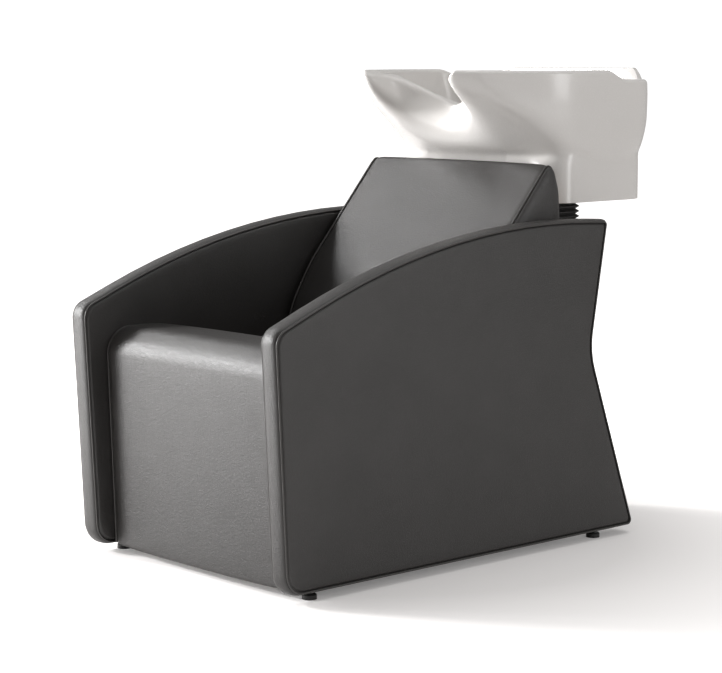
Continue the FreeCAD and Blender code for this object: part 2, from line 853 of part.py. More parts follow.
def lug(x, root, half_root):
    """A plate standing in a YZ plane at x, from its root height to a round head at the pivot."""
    centre = Vector(x, axis_y, pivot_height)
    head = rod(lug_head_radius, centre, along_x(lug_thickness))
    taper = Part.makePolygon([Vector(x, axis_y - half_root, root), Vector(x, axis_y + half_root, root),
                              Vector(x, axis_y + lug_head_radius, pivot_height),
                              Vector(x, axis_y - lug_head_radius, pivot_height),
                              Vector(x, axis_y - half_root, root)])
    bore = rod(pivot_radius + pivot_clearance, centre, along_x(lug_thickness))
    return plate(taper, along_x(lug_thickness)).fuse(head).cut(bore)


def make_tilt():
    base_x = pivot_x
    disc_x = base_x - friction_disc_thickness
    swing_x = disc_x - lug_thickness
    nut_x = swing_x - friction_disc_thickness - pivot_head_height
    swing_lug = lug(swing_x, tilt_bottom, lug_width / 2)
    ring = rod(friction_disc_radius, Vector(disc_x, axis_y, pivot_height), along_x(friction_disc_thickness))
    bore = rod(pivot_radius + pivot_clearance, Vector(nut_x, axis_y, pivot_height), along_x(base_x - nut_x))
    washer = rod(friction_disc_radius, Vector(swing_x - friction_disc_thickness, axis_y, pivot_height),
                 along_x(friction_disc_thickness))
    add_both("friction_discs", ring.cut(bore), washer.cut(bore))
    head = rod(pivot_head_radius, Vector(base_x + lug_thickness, axis_y, pivot_height),
               along_x(pivot_head_height))
    shank = rod(pivot_radius, Vector(nut_x - pivot_head_height / 2, axis_y, pivot_height),
                along_x(base_x + lug_thickness - nut_x + pivot_head_height / 2))
    add_both("pivot_bolts", head.fuse(shank))
    corners = []
    for i in range(nut_sides + 1):
        angle = 2 * math.pi * i / nut_sides
        corners.append(Vector(nut_x, axis_y + pivot_head_radius * math.cos(angle),
                              pivot_height + pivot_head_radius * math.sin(angle)))
    add_both("pivot_nuts", plate(Part.makePolygon(corners), along_x(pivot_head_height)).cut(bore))
    flat = tilt_layer(tilt_bottom, tilt_plate_thickness)
    add("tilt_plate", flat.multiFuse([swing_lug, mirrored(swing_lug)]))
    add("basin_pad", tilt_layer(tilt_top, basin_pad_thickness))
    bolts = []
    for site in basin_bolt_sites():
        bolt_head = rod(basin_bolt_head_radius, site + up(tilt_bottom - basin_bolt_head_height),
                        up(basin_bolt_head_height))
        bolts.append(bolt_head.fuse(rod(basin_bolt_radius, site + up(tilt_bottom), up(basin_bolt_length()))))
    add("basin_bolts", *bolts)


def tilt_layer(z, thickness):
    """A rounded flat sheet under the basin with the waste's opening and the bolts' holes."""
    layer = plate(centred_outline(tilt_plate_half_x, tilt_plate_half_y, tilt_plate_corner, z), up(thickness))
    layer = layer.cut(rod(tilt_opening_radius, Vector(0, axis_y, z), up(thickness)))
    for site in basin_bolt_sites():
        layer = layer.cut(rod(basin_bolt_radius + bolt_clearance, site + up(z), up(thickness)))
    return layer


def basin_bolt_sites():
    return [Vector(x, axis_y + y, 0)
            for x in (-basin_bolt_x, basin_bolt_x) for y in (-basin_bolt_y, basin_bolt_y)]


def basin_bolt_length():
    return tilt_plate_thickness + basin_pad_thickness + basin_bolt_reach


def make_bellows():
    """Concertina of rounded rectangles between the column's top plate and the basin."""
    height = basin_bottom - plate_top
    cuff = height * bellows_cuff_share
    pitch = (height - 2 * cuff) / bellows_ribs
    levels = [(plate_top, bellows_rib_depth), (plate_top + cuff, bellows_rib_depth)]
    for i in range(bellows_ribs):
        low = plate_top + cuff + i * pitch
        levels += [(low + pitch * share, 0) for share in bellows_crest_shares]
        levels.append((low + pitch, bellows_rib_depth))
    levels.append((basin_bottom, bellows_rib_depth))

    def skin(inset):
        return loft([centred_outline(bellows_half_x - d - inset, bellows_half_y - d - inset,
                                     bellows_corner - d - inset, z) for z, d in levels], True)
    add("bellows", skin(0).cut(skin(bellows_wall)))


# Basin


def blend(first, second, share):
    return first + share * (second - first)


def both_sides(right):
    """A symmetric outline's values: the middle one first, the right side's, then the left side's."""
    return tuple(right) + tuple(right[:0:-1])


def mirrored_wire(right, radii, z):
    """A rounded outline at a height from its corners on the right, the first on the middle line."""
    points = tuple(right) + tuple((-x, y) for x, y in right[:0:-1])
    return rounded(points, both_sides(radii), flat_place(z))


def basin_corners(level):
    """The basin's corners at a level: neck recess, flank, horn, side and rear."""
    neck, flank, horn, side, nearer, narrow, shorter = [share * basin_reach for share in level[2:]]
    half = basin_half_width - narrow
    return ((0, basin_neck_y + neck), (basin_flank_x - nearer, basin_flank_y + flank),
            (basin_horn_x, basin_horn_y + horn), (half, basin_side_y + side), (half, basin_rear - shorter))


def basin_outline(z, level):
    radii = [blend(rim, foot, level[1]) for rim, foot in zip(basin_rim_radii, basin_foot_radii)]
    return mirrored_wire(basin_corners(level), radii, z)


def block_outline(z):
    """The base block's outline: a rounded box."""
    points = ((-block_half_width, block_front), (block_half_width, block_front),
              (block_half_width, block_rear), (-block_half_width, block_rear))
    return rounded(points, (block_corner,) * 4, flat_place(z))


def bowl_outline(z, narrow, neck_back, back):
    """The bowl's inside, part of the way from the rim, one wall within the basin, to its floor."""
    rim = basin_corners(basin_level_shares[-1])
    rim = drawn_in(rim + tuple((-x, y) for x, y in rim[:0:-1]), basin_wall)[:len(rim) - 1]
    rim.append((rim[-1][0], bowl_rear))
    corners = []
    for i, (across, along) in enumerate(bowl_floor_shares):
        floor_y = blend(bowl_floor_front, bowl_rear, along)
        corners.append((blend(rim[i][0], across * bowl_floor_half, narrow),
                        blend(rim[i][1], floor_y, back if i else neck_back)))
    radii = [blend(first, last, narrow) for first, last in zip(bowl_rim_radii, bowl_floor_radii)]
    return mirrored_wire(corners, radii, z)


def make_basin():
    top = basin_rim + upstand_rise
    upper = loft([basin_outline(blend(block_top, top, level[0]), level) for level in basin_level_shares])
    block = loft([block_outline(basin_bottom), block_outline(block_top)], True)
    body = upper.fuse(block)
    deck_top = basin_rim - deck_drop
    beyond = 2 * basin_rear
    line = ((0, basin_rim), (deck_front - deck_ramp, basin_rim), (deck_front, deck_top),
            (beyond, deck_top), (beyond, beyond), (0, beyond), (0, basin_rim))
    above = plate(Part.makePolygon([Vector(-beyond, y, z) for y, z in line]), along_x(2 * beyond))
    body = body.cut(above.cut(upstand_space(deck_top, top)))
    slope = saddle_depth / saddle_half
    ends = 2 * saddle_half
    lowest = basin_rim - saddle_depth
    saddle = rounded(((0, lowest), (ends, lowest + ends * slope), (-ends, lowest + ends * slope)),
                     (saddle_radius, overrun, overrun), front_place(0))
    body = body.cut(plate(saddle, along_y(basin_neck_y + 2 * basin_wall)))
    body = body.cut(bowl_space())
    body = body.cut(rear_hollow())
    body = body.cut(rod(drain_radius, Vector(0, axis_y, basin_bottom - overrun),
                        up(bowl_floor + 2 * overrun)))
    body = body.cut(rod(waste_flange_radius + thread_clearance,
                        Vector(0, axis_y, bowl_floor_top - waste_flange_height),
                        up(waste_flange_height + overrun)))
    for x, radius in ((-tap_hole_x, tap_hole_radius), (tap_hole_x, spray_hole_radius)):
        body = body.cut(rod(radius, Vector(x, tap_hole_y, deck_top - 2 * deck_wall), up(3 * deck_wall)))
    for site in basin_bolt_sites():
        body = body.cut(rod(basin_bolt_radius + bolt_clearance, site + up(basin_bottom - overrun),
                            up(basin_bolt_reach + overrun + bolt_clearance)))
    add("basin", body)


def upstand_space(deck_top, top):
    """The low lip along the rear edge, which keeps its full height above the tap ledge."""
    foot = upstand_half + deck_drop
    right = ((upstand_half, top + overrun), (foot, deck_top), (foot, deck_top - overrun))
    points = tuple((-x, z) for x, z in right[::-1]) + right
    face = rounded(points, (upstand_corner,) * 6, front_place(basin_rear - upstand_depth))
    return plate(face, along_y(upstand_depth + overrun))


def bowl_space():
    """The hollow that holds the water and the sitter's head."""
    top = basin_rim + overrun
    return loft([bowl_outline(blend(bowl_floor_top, top, height), narrow, neck_back, back)
                 for height, narrow, neck_back, back in bowl_level_shares])


def rear_hollow():
    """The open space under the tap ledge, where the taps' shanks and hoses are reached from below."""
    top = basin_rim - deck_drop - deck_wall
    front = bowl_rear + basin_wall
    rear = block_rear - basin_wall
    points = ((-rear_hollow_half, front), (rear_hollow_half, front),
              (rear_hollow_half, rear), (-rear_hollow_half, rear))
    outline = rounded(points, (rear_hollow_corner,) * 4, flat_place(basin_bottom - overrun))
    return plate(outline, up(top - basin_bottom + overrun))


# Waste


def ring(outer, inner, z0, z1, x=0.0):
    start = Vector(x, axis_y, z0)
    return rod(outer, start, up(z1 - z0)).cut(rod(inner, start, up(z1 - z0)))


def make_waste():
    flange_bottom = bowl_floor_top - waste_flange_height
    tail_inner = waste_tail_radius - waste_wall
    flange = ring(waste_flange_radius, tail_inner, flange_bottom, bowl_floor_top)
    tail = ring(waste_tail_radius, tail_inner, waste_tail_bottom, flange_bottom)
    add("waste_flange", flange.fuse(tail))
    washer_bottom = basin_bottom - waste_washer_height
    nut_bottom = washer_bottom - waste_nut_height
    bore = waste_tail_radius + thread_clearance
    add("waste_washer", ring(waste_nut_radius, bore, washer_bottom, basin_bottom))
    add("waste_nut", ring(waste_nut_radius, bore, nut_bottom, washer_bottom))
    basket_radius = tail_inner - trap_clearance
    cap = rod(trap_cap_radius, Vector(0, axis_y, bowl_floor_top), up(trap_cap_height))
    knob = rod(trap_knob_radius, Vector(0, axis_y, bowl_floor_top + trap_cap_height), up(trap_knob_height))
    cup = rod(basket_radius, Vector(0, axis_y, bowl_floor_top - trap_basket_depth), up(trap_basket_depth))
    hollow = rod(basket_radius - trap_basket_wall,
                 Vector(0, axis_y, bowl_floor_top - trap_basket_depth + trap_basket_wall),
                 up(trap_basket_depth - trap_basket_wall))
    trap = cap.fuse(cup).cut(hollow)
    for i in range(trap_slots):
        angle = 2 * math.pi * i / trap_slots
        direction = Vector(math.cos(angle), math.sin(angle), 0)
        side = Vector(-direction.y, direction.x, 0) * (trap_slot_width / 2)
        near, far = basket_radius * trap_slot_share, basket_radius - trap_basket_wall
        start = Vector(0, axis_y, bowl_floor_top - trap_basket_depth)
        slot = Part.makePolygon([start + direction * near + side, start + direction * far + side,
                                 start + direction * far - side, start + direction * near - side,
                                 start + direction * near + side])
        trap = trap.cut(plate(slot, up(trap_basket_depth + trap_cap_height)))
    add("hair_trap", trap.fuse(knob))
    make_hose()
    make_bottle()


def make_hose():
    """Ribbed hose from the waste's tail down to the bottle trap, held at both ends by clips."""
    bottom = bottle_top + bottle_neck_height - hose_cuff
    top = waste_tail_bottom + hose_cuff
    outer = hose_bore + hose_wall
    pitch = (top - bottom - 2 * hose_cuff) / hose_ribs
    levels = [(bottom, outer), (bottom + hose_cuff, outer)]
    for i in range(hose_ribs):
        low = bottom + hose_cuff + i * pitch
        if i:
            levels.append((low, outer))
        levels += [(low + pitch * share, outer + hose_rib_depth) for share in hose_crest_shares]
    levels += [(top - hose_cuff, outer), (top, outer)]
    rings = [Part.Wire([Part.Circle(Vector(0, axis_y, z), Vector(0, 0, 1), r).toShape()]) for z, r in levels]
    bore = rod(hose_bore, Vector(0, axis_y, bottom), up(top - bottom))
    add("waste_hose", loft(rings, True).cut(bore))
    for name, low in (("upper_hose_clip", top - (hose_cuff + clip_width) / 2),
                      ("lower_hose_clip", bottom + (hose_cuff - clip_width) / 2)):
        add(name, ring(outer + clip_thickness, outer, low, low + clip_width))


def make_bottle():
    """Bottle trap with a screw cap below and a bent outlet that turns down to the floor."""
    centre = Vector(0, axis_y, bottle_bottom + bottle_cap_height)
    height = bottle_top - centre.z
    neck = rod(waste_tail_radius, Vector(0, axis_y, bottle_top), up(bottle_neck_height))
    body = rod(bottle_radius, centre, up(height)).fuse(neck)
    path = rounded_path((Vector(0, axis_y, outlet_height), Vector(outlet_offset_x, axis_y, outlet_height),
                         Vector(outlet_offset_x, axis_y, outlet_bottom)), outlet_bend)
    outer = tube_along(path, outlet_radius)
    inner = tube_along(path, outlet_radius - waste_wall)
    stop = rod(outlet_stop_radius, Vector(outlet_offset_x, axis_y, outlet_stop_bottom),
               up(outlet_stop_height))
    hollow = rod(bottle_radius - bottle_wall, centre - up(overrun), up(height + overrun - bottle_wall))
    throat = rod(waste_tail_radius - waste_wall, Vector(0, axis_y, bottle_top - 2 * bottle_wall),
                 up(bottle_neck_height + 3 * bottle_wall))
    add("bottle_trap", body.multiFuse([outer, stop]).cut(hollow).cut(throat).cut(inner))
    cap_radius = bottle_radius + bottle_wall
    cap = rod(cap_radius, Vector(0, axis_y, bottle_bottom), up(bottle_cap_height))
    for i in range(cap_grips):
        angle = 2 * math.pi * i / cap_grips
        spot = Vector(cap_radius * math.cos(angle), axis_y + cap_radius * math.sin(angle), bottle_bottom)
        cap = cap.cut(rod(cap_grip_radius, spot, up(bottle_cap_height)))
    add("bottle_cap", cap)
    low = (bottle_top + centre.z - bracket_height) / 2
    outer_ring = rod(bottle_radius + bracket_thickness, Vector(0, axis_y, low), up(bracket_height))
    arm = box(-bracket_height, bracket_height, column_front + sheet, axis_y - bottle_radius,
              low, low + bracket_height)
    bore = rod(bottle_radius + thread_clearance, Vector(0, axis_y, low), up(bracket_height))
    add("trap_bracket", outer_ring.fuse(arm).cut(bore))


def rounded_path(points, radius):
    """An open wire of two straight runs joined by one arc."""
    first, corner, last = points
    before = (first - corner).normalize()
    after = (last - corner).normalize()
    start, end = corner + before * radius, corner + after * radius
    centre = start + after * radius
    middle = centre + (corner - centre).normalize() * radius
    return Part.Wire([Part.LineSegment(first, start).toShape(), Part.Arc(start, middle, end).toShape(),
                      Part.LineSegment(end, last).toShape()])


def save_all():
    """Moves the origin under the middle of the whole object and writes each piece."""
    whole = Part.makeCompound(list(pieces.values())).optimalBoundingBox(False)
    middle = (whole.YMin + whole.YMax) / 2
    for name, shape in pieces.items():
        shape.translate(Vector(0, -middle, 0))
        shape.exportStep("parts/" + name + ".step")
    size = [round(length, 2) for length in (whole.XLength, whole.YLength, whole.ZLength)]
    print("pieces", len(pieces), "size", size, "moved by", round(-middle, 4))


make_arms()
make_seat()
make_back()
make_rear_panel()
make_frame()
make_feet()
make_column()
make_door()
make_tilt()
make_bellows()
make_basin()
make_waste()
save_all()
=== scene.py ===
import json
import math

import bmesh
import bpy
import numpy
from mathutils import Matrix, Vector


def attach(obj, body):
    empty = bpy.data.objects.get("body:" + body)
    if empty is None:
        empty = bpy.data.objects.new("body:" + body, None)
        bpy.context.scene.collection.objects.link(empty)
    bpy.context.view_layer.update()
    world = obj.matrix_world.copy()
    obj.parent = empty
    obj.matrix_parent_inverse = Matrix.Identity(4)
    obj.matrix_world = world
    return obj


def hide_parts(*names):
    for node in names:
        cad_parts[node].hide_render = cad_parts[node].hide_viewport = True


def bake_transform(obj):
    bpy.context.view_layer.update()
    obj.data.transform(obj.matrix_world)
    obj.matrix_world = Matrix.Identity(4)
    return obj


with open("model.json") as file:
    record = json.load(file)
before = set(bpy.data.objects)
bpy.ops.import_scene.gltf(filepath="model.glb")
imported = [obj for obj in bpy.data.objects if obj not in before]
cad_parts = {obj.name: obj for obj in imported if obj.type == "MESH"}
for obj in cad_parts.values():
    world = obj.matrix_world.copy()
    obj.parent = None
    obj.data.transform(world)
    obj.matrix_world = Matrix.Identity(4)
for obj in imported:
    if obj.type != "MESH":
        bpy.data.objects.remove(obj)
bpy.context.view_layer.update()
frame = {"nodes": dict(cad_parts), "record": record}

MM = 0.001
# The part's source counts Y from the arms' front, and the frame from the middle of the whole object
REAR_SHIFT = 559.6251


def place(x, y, z):
    """A point in metres from the part's millimetres, whose Y starts at the arms' front."""
    return Vector((x * MM, (y - REAR_SHIFT) * MM, z * MM))


# Materials

# The middle stretch of a noise, which a ramp spreads over its two ends
NOISE_STRETCH = (0.3, 0.7)


def new_material(name):
    material = bpy.data.materials.new(name)
    material.use_nodes = True
    tree = material.node_tree
    tree.nodes.clear()
    output = tree.nodes.new("ShaderNodeOutputMaterial")
    shader = tree.nodes.new("ShaderNodeBsdfPrincipled")
    tree.links.new(shader.outputs[0], output.inputs[0])
    coordinates = tree.nodes.new("ShaderNodeTexCoord")
    return material, tree, shader, coordinates.outputs["Object"]


def noise(tree, where, scale, detail=4.0, rough=0.5):
    """Noise whose scale is in waves per metre."""
    node = tree.nodes.new("ShaderNodeTexNoise")
    node.inputs["Scale"].default_value = scale
    node.inputs["Detail"].default_value = detail
    node.inputs["Roughness"].default_value = rough
    tree.links.new(where, node.inputs["Vector"])
    return node.outputs["Fac"]


def cells(tree, where, scale):
    """The distance to the edge of cells, whose scale is in cells per metre."""
    node = tree.nodes.new("ShaderNodeTexVoronoi")
    node.feature = "DISTANCE_TO_EDGE"
    node.inputs["Scale"].default_value = scale
    tree.links.new(where, node.inputs["Vector"])
    return node.outputs["Distance"]


def ramp(tree, value, low, high, start=0.0, end=1.0):
    """Maps a value between two numbers, or between two colours, over a stretch."""
    if isinstance(low, tuple):
        node = tree.nodes.new("ShaderNodeValToRGB")
        node.color_ramp.elements[0].color = low + (1.0,)
        node.color_ramp.elements[1].color = high + (1.0,)
        node.color_ramp.elements[0].position = start
        node.color_ramp.elements[1].position = end
        tree.links.new(value, node.inputs["Fac"])
        return node.outputs["Color"]
    node = tree.nodes.new("ShaderNodeMapRange")
    for key, number in (("From Min", start), ("From Max", end), ("To Min", low), ("To Max", high)):
        node.inputs[key].default_value = number
    tree.links.new(value, node.inputs["Value"])
    return node.outputs["Result"]


def coloured(tree, shader, value, dark, light, stretch=NOISE_STRETCH):
    tree.links.new(ramp(tree, value, dark, light, *stretch), shader.inputs["Base Color"])


def roughened(tree, shader, value, low, high):
    tree.links.new(ramp(tree, value, low, high, *NOISE_STRETCH), shader.inputs["Roughness"])


def stretched(tree, where, scale):
    node = tree.nodes.new("ShaderNodeMapping")
    node.inputs["Scale"].default_value = scale
    tree.links.new(where, node.inputs["Vector"])
    return node.outputs["Vector"]


def bump(tree, shader, layers):
    """Stacks bump layers, each a height, a strength and a depth in metres."""
    normal = None
    for height, strength, depth in layers:
        node = tree.nodes.new("ShaderNodeBump")
        node.inputs["Strength"].default_value = strength
        node.inputs["Distance"].default_value = depth
        tree.links.new(height, node.inputs["Height"])
        if normal is not None:
            tree.links.new(normal, node.inputs["Normal"])
        normal = node.outputs["Normal"]
    tree.links.new(normal, shader.inputs["Normal"])


def leather(name, dark, light, grain=1.0):
    """Artificial leather: fine pebbled grain, faint creases and slight colour clouds."""
    material, tree, shader, where = new_material(name)
    pebble = cells(tree, where, 480.0)
    folds = noise(tree, where, 250.0, 2.0, 0.6)
    pores = noise(tree, where, 1500.0, 3.0, 0.6)
    cloud = noise(tree, where, 9.0, 3.0, 0.55)
    slack = noise(tree, stretched(tree, where, (1.0, 1.0, 0.5)), 5.0, 2.0, 0.5)
    coloured(tree, shader, cloud, dark, light)
    roughened(tree, shader, pores, 0.36, 0.46)
    bump(tree, shader, (
        (slack, 0.25, 0.004),
        (folds, 0.34 * grain, 0.0012),
        (pebble, 0.6 * grain, 0.0009),
        (pores, 0.25 * grain, 0.0004),
    ))
    shader.inputs["Specular IOR Level"].default_value = 0.62
    return material


def glaze(name):
    """Glazed ceramic: warm light grey under a clear gloss that is slightly uneven."""
    material, tree, shader, where = new_material(name)
    cloud = noise(tree, where, 3.0, 2.0, 0.4)
    speck = noise(tree, where, 700.0, 2.0, 0.45)
    coloured(tree, shader, cloud, (0.67, 0.65, 0.63), (0.69, 0.67, 0.65), (0.35, 0.65))
    roughened(tree, shader, speck, 0.25, 0.28)
    bump(tree, shader, ((cloud, 0.04, 0.004),))
    shader.inputs["Coat Weight"].default_value = 0.25
    shader.inputs["Coat Roughness"].default_value = 0.16
    return material


def rubber(name):
    """Moulded rubber with dust in its grain."""
    material, tree, shader, where = new_material(name)
    dust = noise(tree, where, 60.0, 3.0)
    coloured(tree, shader, dust, (0.008, 0.008, 0.008), (0.02, 0.019, 0.018), (0.3, 0.75))
    roughened(tree, shader, dust, 0.42, 0.6)
    bump(tree, shader, ((noise(tree, where, 900.0, 2.0), 0.15, 0.0004),))
    return material


def painted(name, dark, light, rough=0.45):
    """Powder coat with its fine orange peel."""
    material, tree, shader, where = new_material(name)
    peel = noise(tree, where, 420.0, 2.0, 0.5)
    coloured(tree, shader, noise(tree, where, 6.0, 2.0), dark, light)
    roughened(tree, shader, peel, rough - 0.06, rough + 0.08)
    bump(tree, shader, ((peel, 0.3, 0.0005),))
    return material


def steel(name):
    """Zinc plated steel with turning marks and slight stains."""
    material, tree, shader, where = new_material(name)
    marks = noise(tree, stretched(tree, where, (40.0, 40.0, 900.0)), 3.0, 3.0)
    coloured(tree, shader, marks, (0.42, 0.42, 0.41), (0.62, 0.62, 0.60))
    roughened(tree, shader, marks, 0.26, 0.42)
    bump(tree, shader, ((marks, 0.12, 0.0003),))
    shader.inputs["Metallic"].default_value = 1.0
    return material


def moulded(name):
    """Black plastic with a spark-eroded grain."""
    material, tree, shader, where = new_material(name)
    spark = noise(tree, where, 700.0, 2.0)
    coloured(tree, shader, spark, (0.012, 0.012, 0.012), (0.024, 0.023, 0.022))
    roughened(tree, shader, spark, 0.36, 0.5)
    bump(tree, shader, ((spark, 0.2, 0.0004),))
    return material


def plywood(name):
    """Birch plywood: long grain on the faces and its plies as fine bands."""
    material, tree, shader, where = new_material(name)
    grain = noise(tree, stretched(tree, where, (4.0, 60.0, 60.0)), 3.0, 5.0, 0.6)
    plies = noise(tree, stretched(tree, where, (1.0, 1.0, 700.0)), 1.0, 1.0)
    coloured(tree, shader, grain, (0.36, 0.22, 0.11), (0.60, 0.43, 0.25))
    roughened(tree, shader, plies, 0.5, 0.75)
    bump(tree, shader, ((grain, 0.25, 0.0005),))
    return material


hide = leather("dark_leather", (0.019, 0.0175, 0.0165), (0.026, 0.024, 0.023))
# The cords' leather is lighter than the covers': a painted highlight along the cords, which are the same
# leather as the covers
welt_hide_painted_highlight = leather("welt_leather_painted_highlight", (0.03, 0.028, 0.026), (0.04, 0.037, 0.035), 0.4)
glazed = glaze("ceramic_glaze")
black_rubber = rubber("black_rubber")
looks = {
    "boards": plywood("birch_plywood"),
    "frame_steel": painted("frame_powder_coat", (0.018, 0.018, 0.018), (0.028, 0.027, 0.026), 0.5),
    "column_paint": painted("column_powder_coat", (0.035, 0.034, 0.033), (0.05, 0.048, 0.046), 0.42),
    "bright_steel": steel("zinc_steel"),
    "black_plastic": moulded("moulded_plastic"),
    "rubber": black_rubber,
    "glaze": glazed,
    "upholstery": hide,
    "piping": welt_hide_painted_highlight,
}
slots = {entry["node"]: entry["material_slot"] for entry in frame["record"]["subparts"]}
for node_name, node in frame["nodes"].items():
    node.data.materials.clear()
    node.data.materials.append(looks[slots[node_name]])


# Outlines and meshes


def mixed(first, second, share):
    return tuple(a + share * (b - a) for a, b in zip(first, second))


def smooth_step(value, low, high):
    """Goes from 0 at low to 1 at high without a kink."""
    t = min(max((value - low) / (high - low), 0.0), 1.0)
    return t * t * (3 - 2 * t)


def eased(rows, height):
    """A row of values at a height, on a smooth curve through the rows."""
    height = min(max(height, rows[0][0]), rows[-1][0])
    at = max(i for i in range(len(rows) - 1) if rows[i][0] <= height)
    first, last = rows[at], rows[at + 1]
    run = last[0] - first[0]
    t = (height - first[0]) / run
    before = rows[max(at - 1, 0)]
    after = rows[min(at + 2, len(rows) - 1)]
    values = []
    for k in range(1, len(first)):
        lead = (last[k] - before[k]) / (last[0] - before[0]) * run
        trail = (after[k] - first[k]) / (after[0] - first[0]) * run
        values.append((2 * t ** 3 - 3 * t ** 2 + 1) * first[k] + (t ** 3 - 2 * t ** 2 + t) * lead
                      + (3 * t ** 2 - 2 * t ** 3) * last[k] + (t ** 3 - t ** 2) * trail)
    return values


def finer(section, parts=3):
    """More stations on a smooth curve through a section's stations."""
    rows = [(float(i),) + tuple(station) for i, station in enumerate(section)]
    return [tuple(eased(rows, i / parts)) for i in range(parts * (len(section) - 1) + 1)]


def mirrored(stations):
    """Stations from one side to the middle, and on to the other side."""
    return finer(stations + [(-x, inset) for x, inset in stations[-2::-1]])


def drawn_in(points, amount):
    """The closed outline's corners moved in by this amount, mitred at each corner."""
    count = len(points)
    area = sum(points[i - 1][0] * points[i][1] - points[i][0] * points[i - 1][1] for i in range(count))
    sign = 1 if area > 0 else -1
    moved = []
    for i in range(count):
        here = Vector(points[i])
        arriving = (here - Vector(points[i - 1])).normalized()
        leaving = (Vector(points[(i + 1) % count]) - here).normalized()
        first = Vector((-arriving.y, arriving.x)) * sign
        second = Vector((-leaving.y, leaving.x)) * sign
        middle = (first + second).normalized()
        moved.append(tuple(here + middle * (amount / middle.dot(first))))
    return moved


# The share of a run between two corners that their roundings may take up
CORNER_ROOM = 0.9


def rounded(points, radii, arc=10, run=8):
    """Points along a closed outline, each corner rounded by its radius, or None for the largest."""
    count = len(points)
    corners = []
    for i in range(count):
        here = Vector(points[i])
        before = Vector(points[i - 1]) - here
        after = Vector(points[(i + 1) % count]) - here
        half = before.angle(after) / 2
        room = CORNER_ROOM * min(before.length, after.length) / 2
        if radii[i] is None:
            room *= 2
        reach = min(room if radii[i] is None else radii[i] / math.tan(half), room)
        radius = reach * math.tan(half)
        before.normalize()
        after.normalize()
        centre = here + (before + after).normalized() * (radius / math.sin(half))
        start, end = here + before * reach, here + after * reach
        corners.append((start, end, centre, radius))
    line = []
    for i, (start, end, centre, radius) in enumerate(corners):
        first = start - centre
        turn = first.angle_signed(end - centre)
        base = math.atan2(first.y, first.x)
        for step in range(arc + 1):
            angle = base - turn * step / arc
            line.append((centre.x + radius * math.cos(angle), centre.y + radius * math.sin(angle)))
        following = corners[(i + 1) % count][0]
        for step in range(1, run):
            line.append(tuple(end.lerp(following, step / run)))
    return line


def circle(x, y, radius, sides):
    return [(x + radius * math.cos(a), y + radius * math.sin(a))
            for a in (2 * math.pi * k / sides for k in range(sides))]


def mesh_object(name, points, faces, material, smooth=True):
    mesh = bpy.data.meshes.new(name)
    mesh.from_pydata([tuple(p) for p in points], [], faces)
    mesh.materials.append(material)
    work = bmesh.new()
    work.from_mesh(mesh)
    bmesh.ops.recalc_face_normals(work, faces=work.faces)
    work.to_mesh(mesh)
    work.free()
    piece = bpy.data.objects.new(name, mesh)
    bpy.context.scene.collection.objects.link(piece)
    for face in mesh.polygons:
        face.use_smooth = smooth
    return piece


def skin(name, rings, material, capped=True):
    """A skin through rings of equal length, closed at both ends where it is capped."""
    count = len(rings[0])
    points = [p for ring in rings for p in ring]
    faces = []
    for r in range(len(rings) - 1):
        for i in range(count):
            j = (i + 1) % count
            faces.append((r * count + i, r * count + j, (r + 1) * count + j, (r + 1) * count + i))
    if capped:
        faces.append(tuple(range(count)))
        faces.append(tuple((len(rings) - 1) * count + i for i in range(count)))
    return mesh_object(name, points, faces, material)


def looped(name, rings, material):
    """A skin whose last ring meets its first."""
    piece = skin(name, rings + rings[:1], material, False)
    work = bmesh.new()
    work.from_mesh(piece.data)
    bmesh.ops.remove_doubles(work, verts=work.verts, dist=1e-6)
    work.to_mesh(piece.data)
    work.free()
    return piece


def cord_along(path, radius, closed=True, sides=10):
    """A round welt cord along a path in a plane of constant X, its radius in millimetres."""
    normal = Vector((1, 0, 0))
    count = len(path)
    rings = []
    for i in range(count):
        before = path[i - 1] if i or closed else path[i]
        after = path[(i + 1) % count] if closed or i < count - 1 else path[i]
        across = (after - before).normalized().cross(normal).normalized()
        rings.append([path[i] + (normal * math.cos(a) + across * math.sin(a)) * (radius * MM)
                      for a in (2 * math.pi * s / sides for s in range(sides))])
    return looped("cord", rings, welt_hide_painted_highlight) if closed else skin("cord", rings, welt_hide_painted_highlight)


def joined(name, objects):
    """Several objects as one piece."""
    work = bmesh.new()
    material = objects[0].data.materials[0]
    for item in objects:
        work.from_mesh(item.data)
        bpy.data.objects.remove(item)
    mesh = bpy.data.meshes.new(name)
    work.to_mesh(mesh)
    work.free()
    mesh.materials.append(material)
    piece = bpy.data.objects.new(name, mesh)
    bpy.context.scene.collection.objects.link(piece)
    return piece


def part_of(piece, body, slot, *nodes):
    """Puts a piece on its body, in place of the solids that it stands for; the slot is not used."""
    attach(piece, body)
    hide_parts(*nodes)


def side_profile(outline, stations):
    """Rings in planes of constant X: one outline for each station's X and the amount drawn in."""
    return [[place(x, y, z) for y, z in outline(inset)] for x, inset in stations]


def make_welts(name, node, places, line, radius, closed=False):
    """Cords that follow one line of Y and Z at several places across, joined as one piece."""
    cords = [cord_along([place(x, y, z) for y, z in line], radius, closed) for x in places]
    part_of(joined(name, cords), "base", "piping", node)


# The covers end this far above the floor
FOOT_GAP = 15.0


# Arms

ARM_MIDDLE = 292.0
ARM_LENGTH, ARM_HEIGHT = 981.0, 648.0
# The side view as shares of the arm's length and height, from the front foot up and over to the rear
ARM_SHARES = ((0.0259, 0.0), (0.0, 0.7485), (0.4587, 1.034), (0.9052, 0.9954), (0.8578, 0.5877), (1.0, 0.0))
ARM_POINTS = tuple((along * ARM_LENGTH, FOOT_GAP + up * ARM_HEIGHT) for along, up in ARM_SHARES)
ARM_RADII = (40.0, 32.0, None, 6.0, 150.0, 8.0)
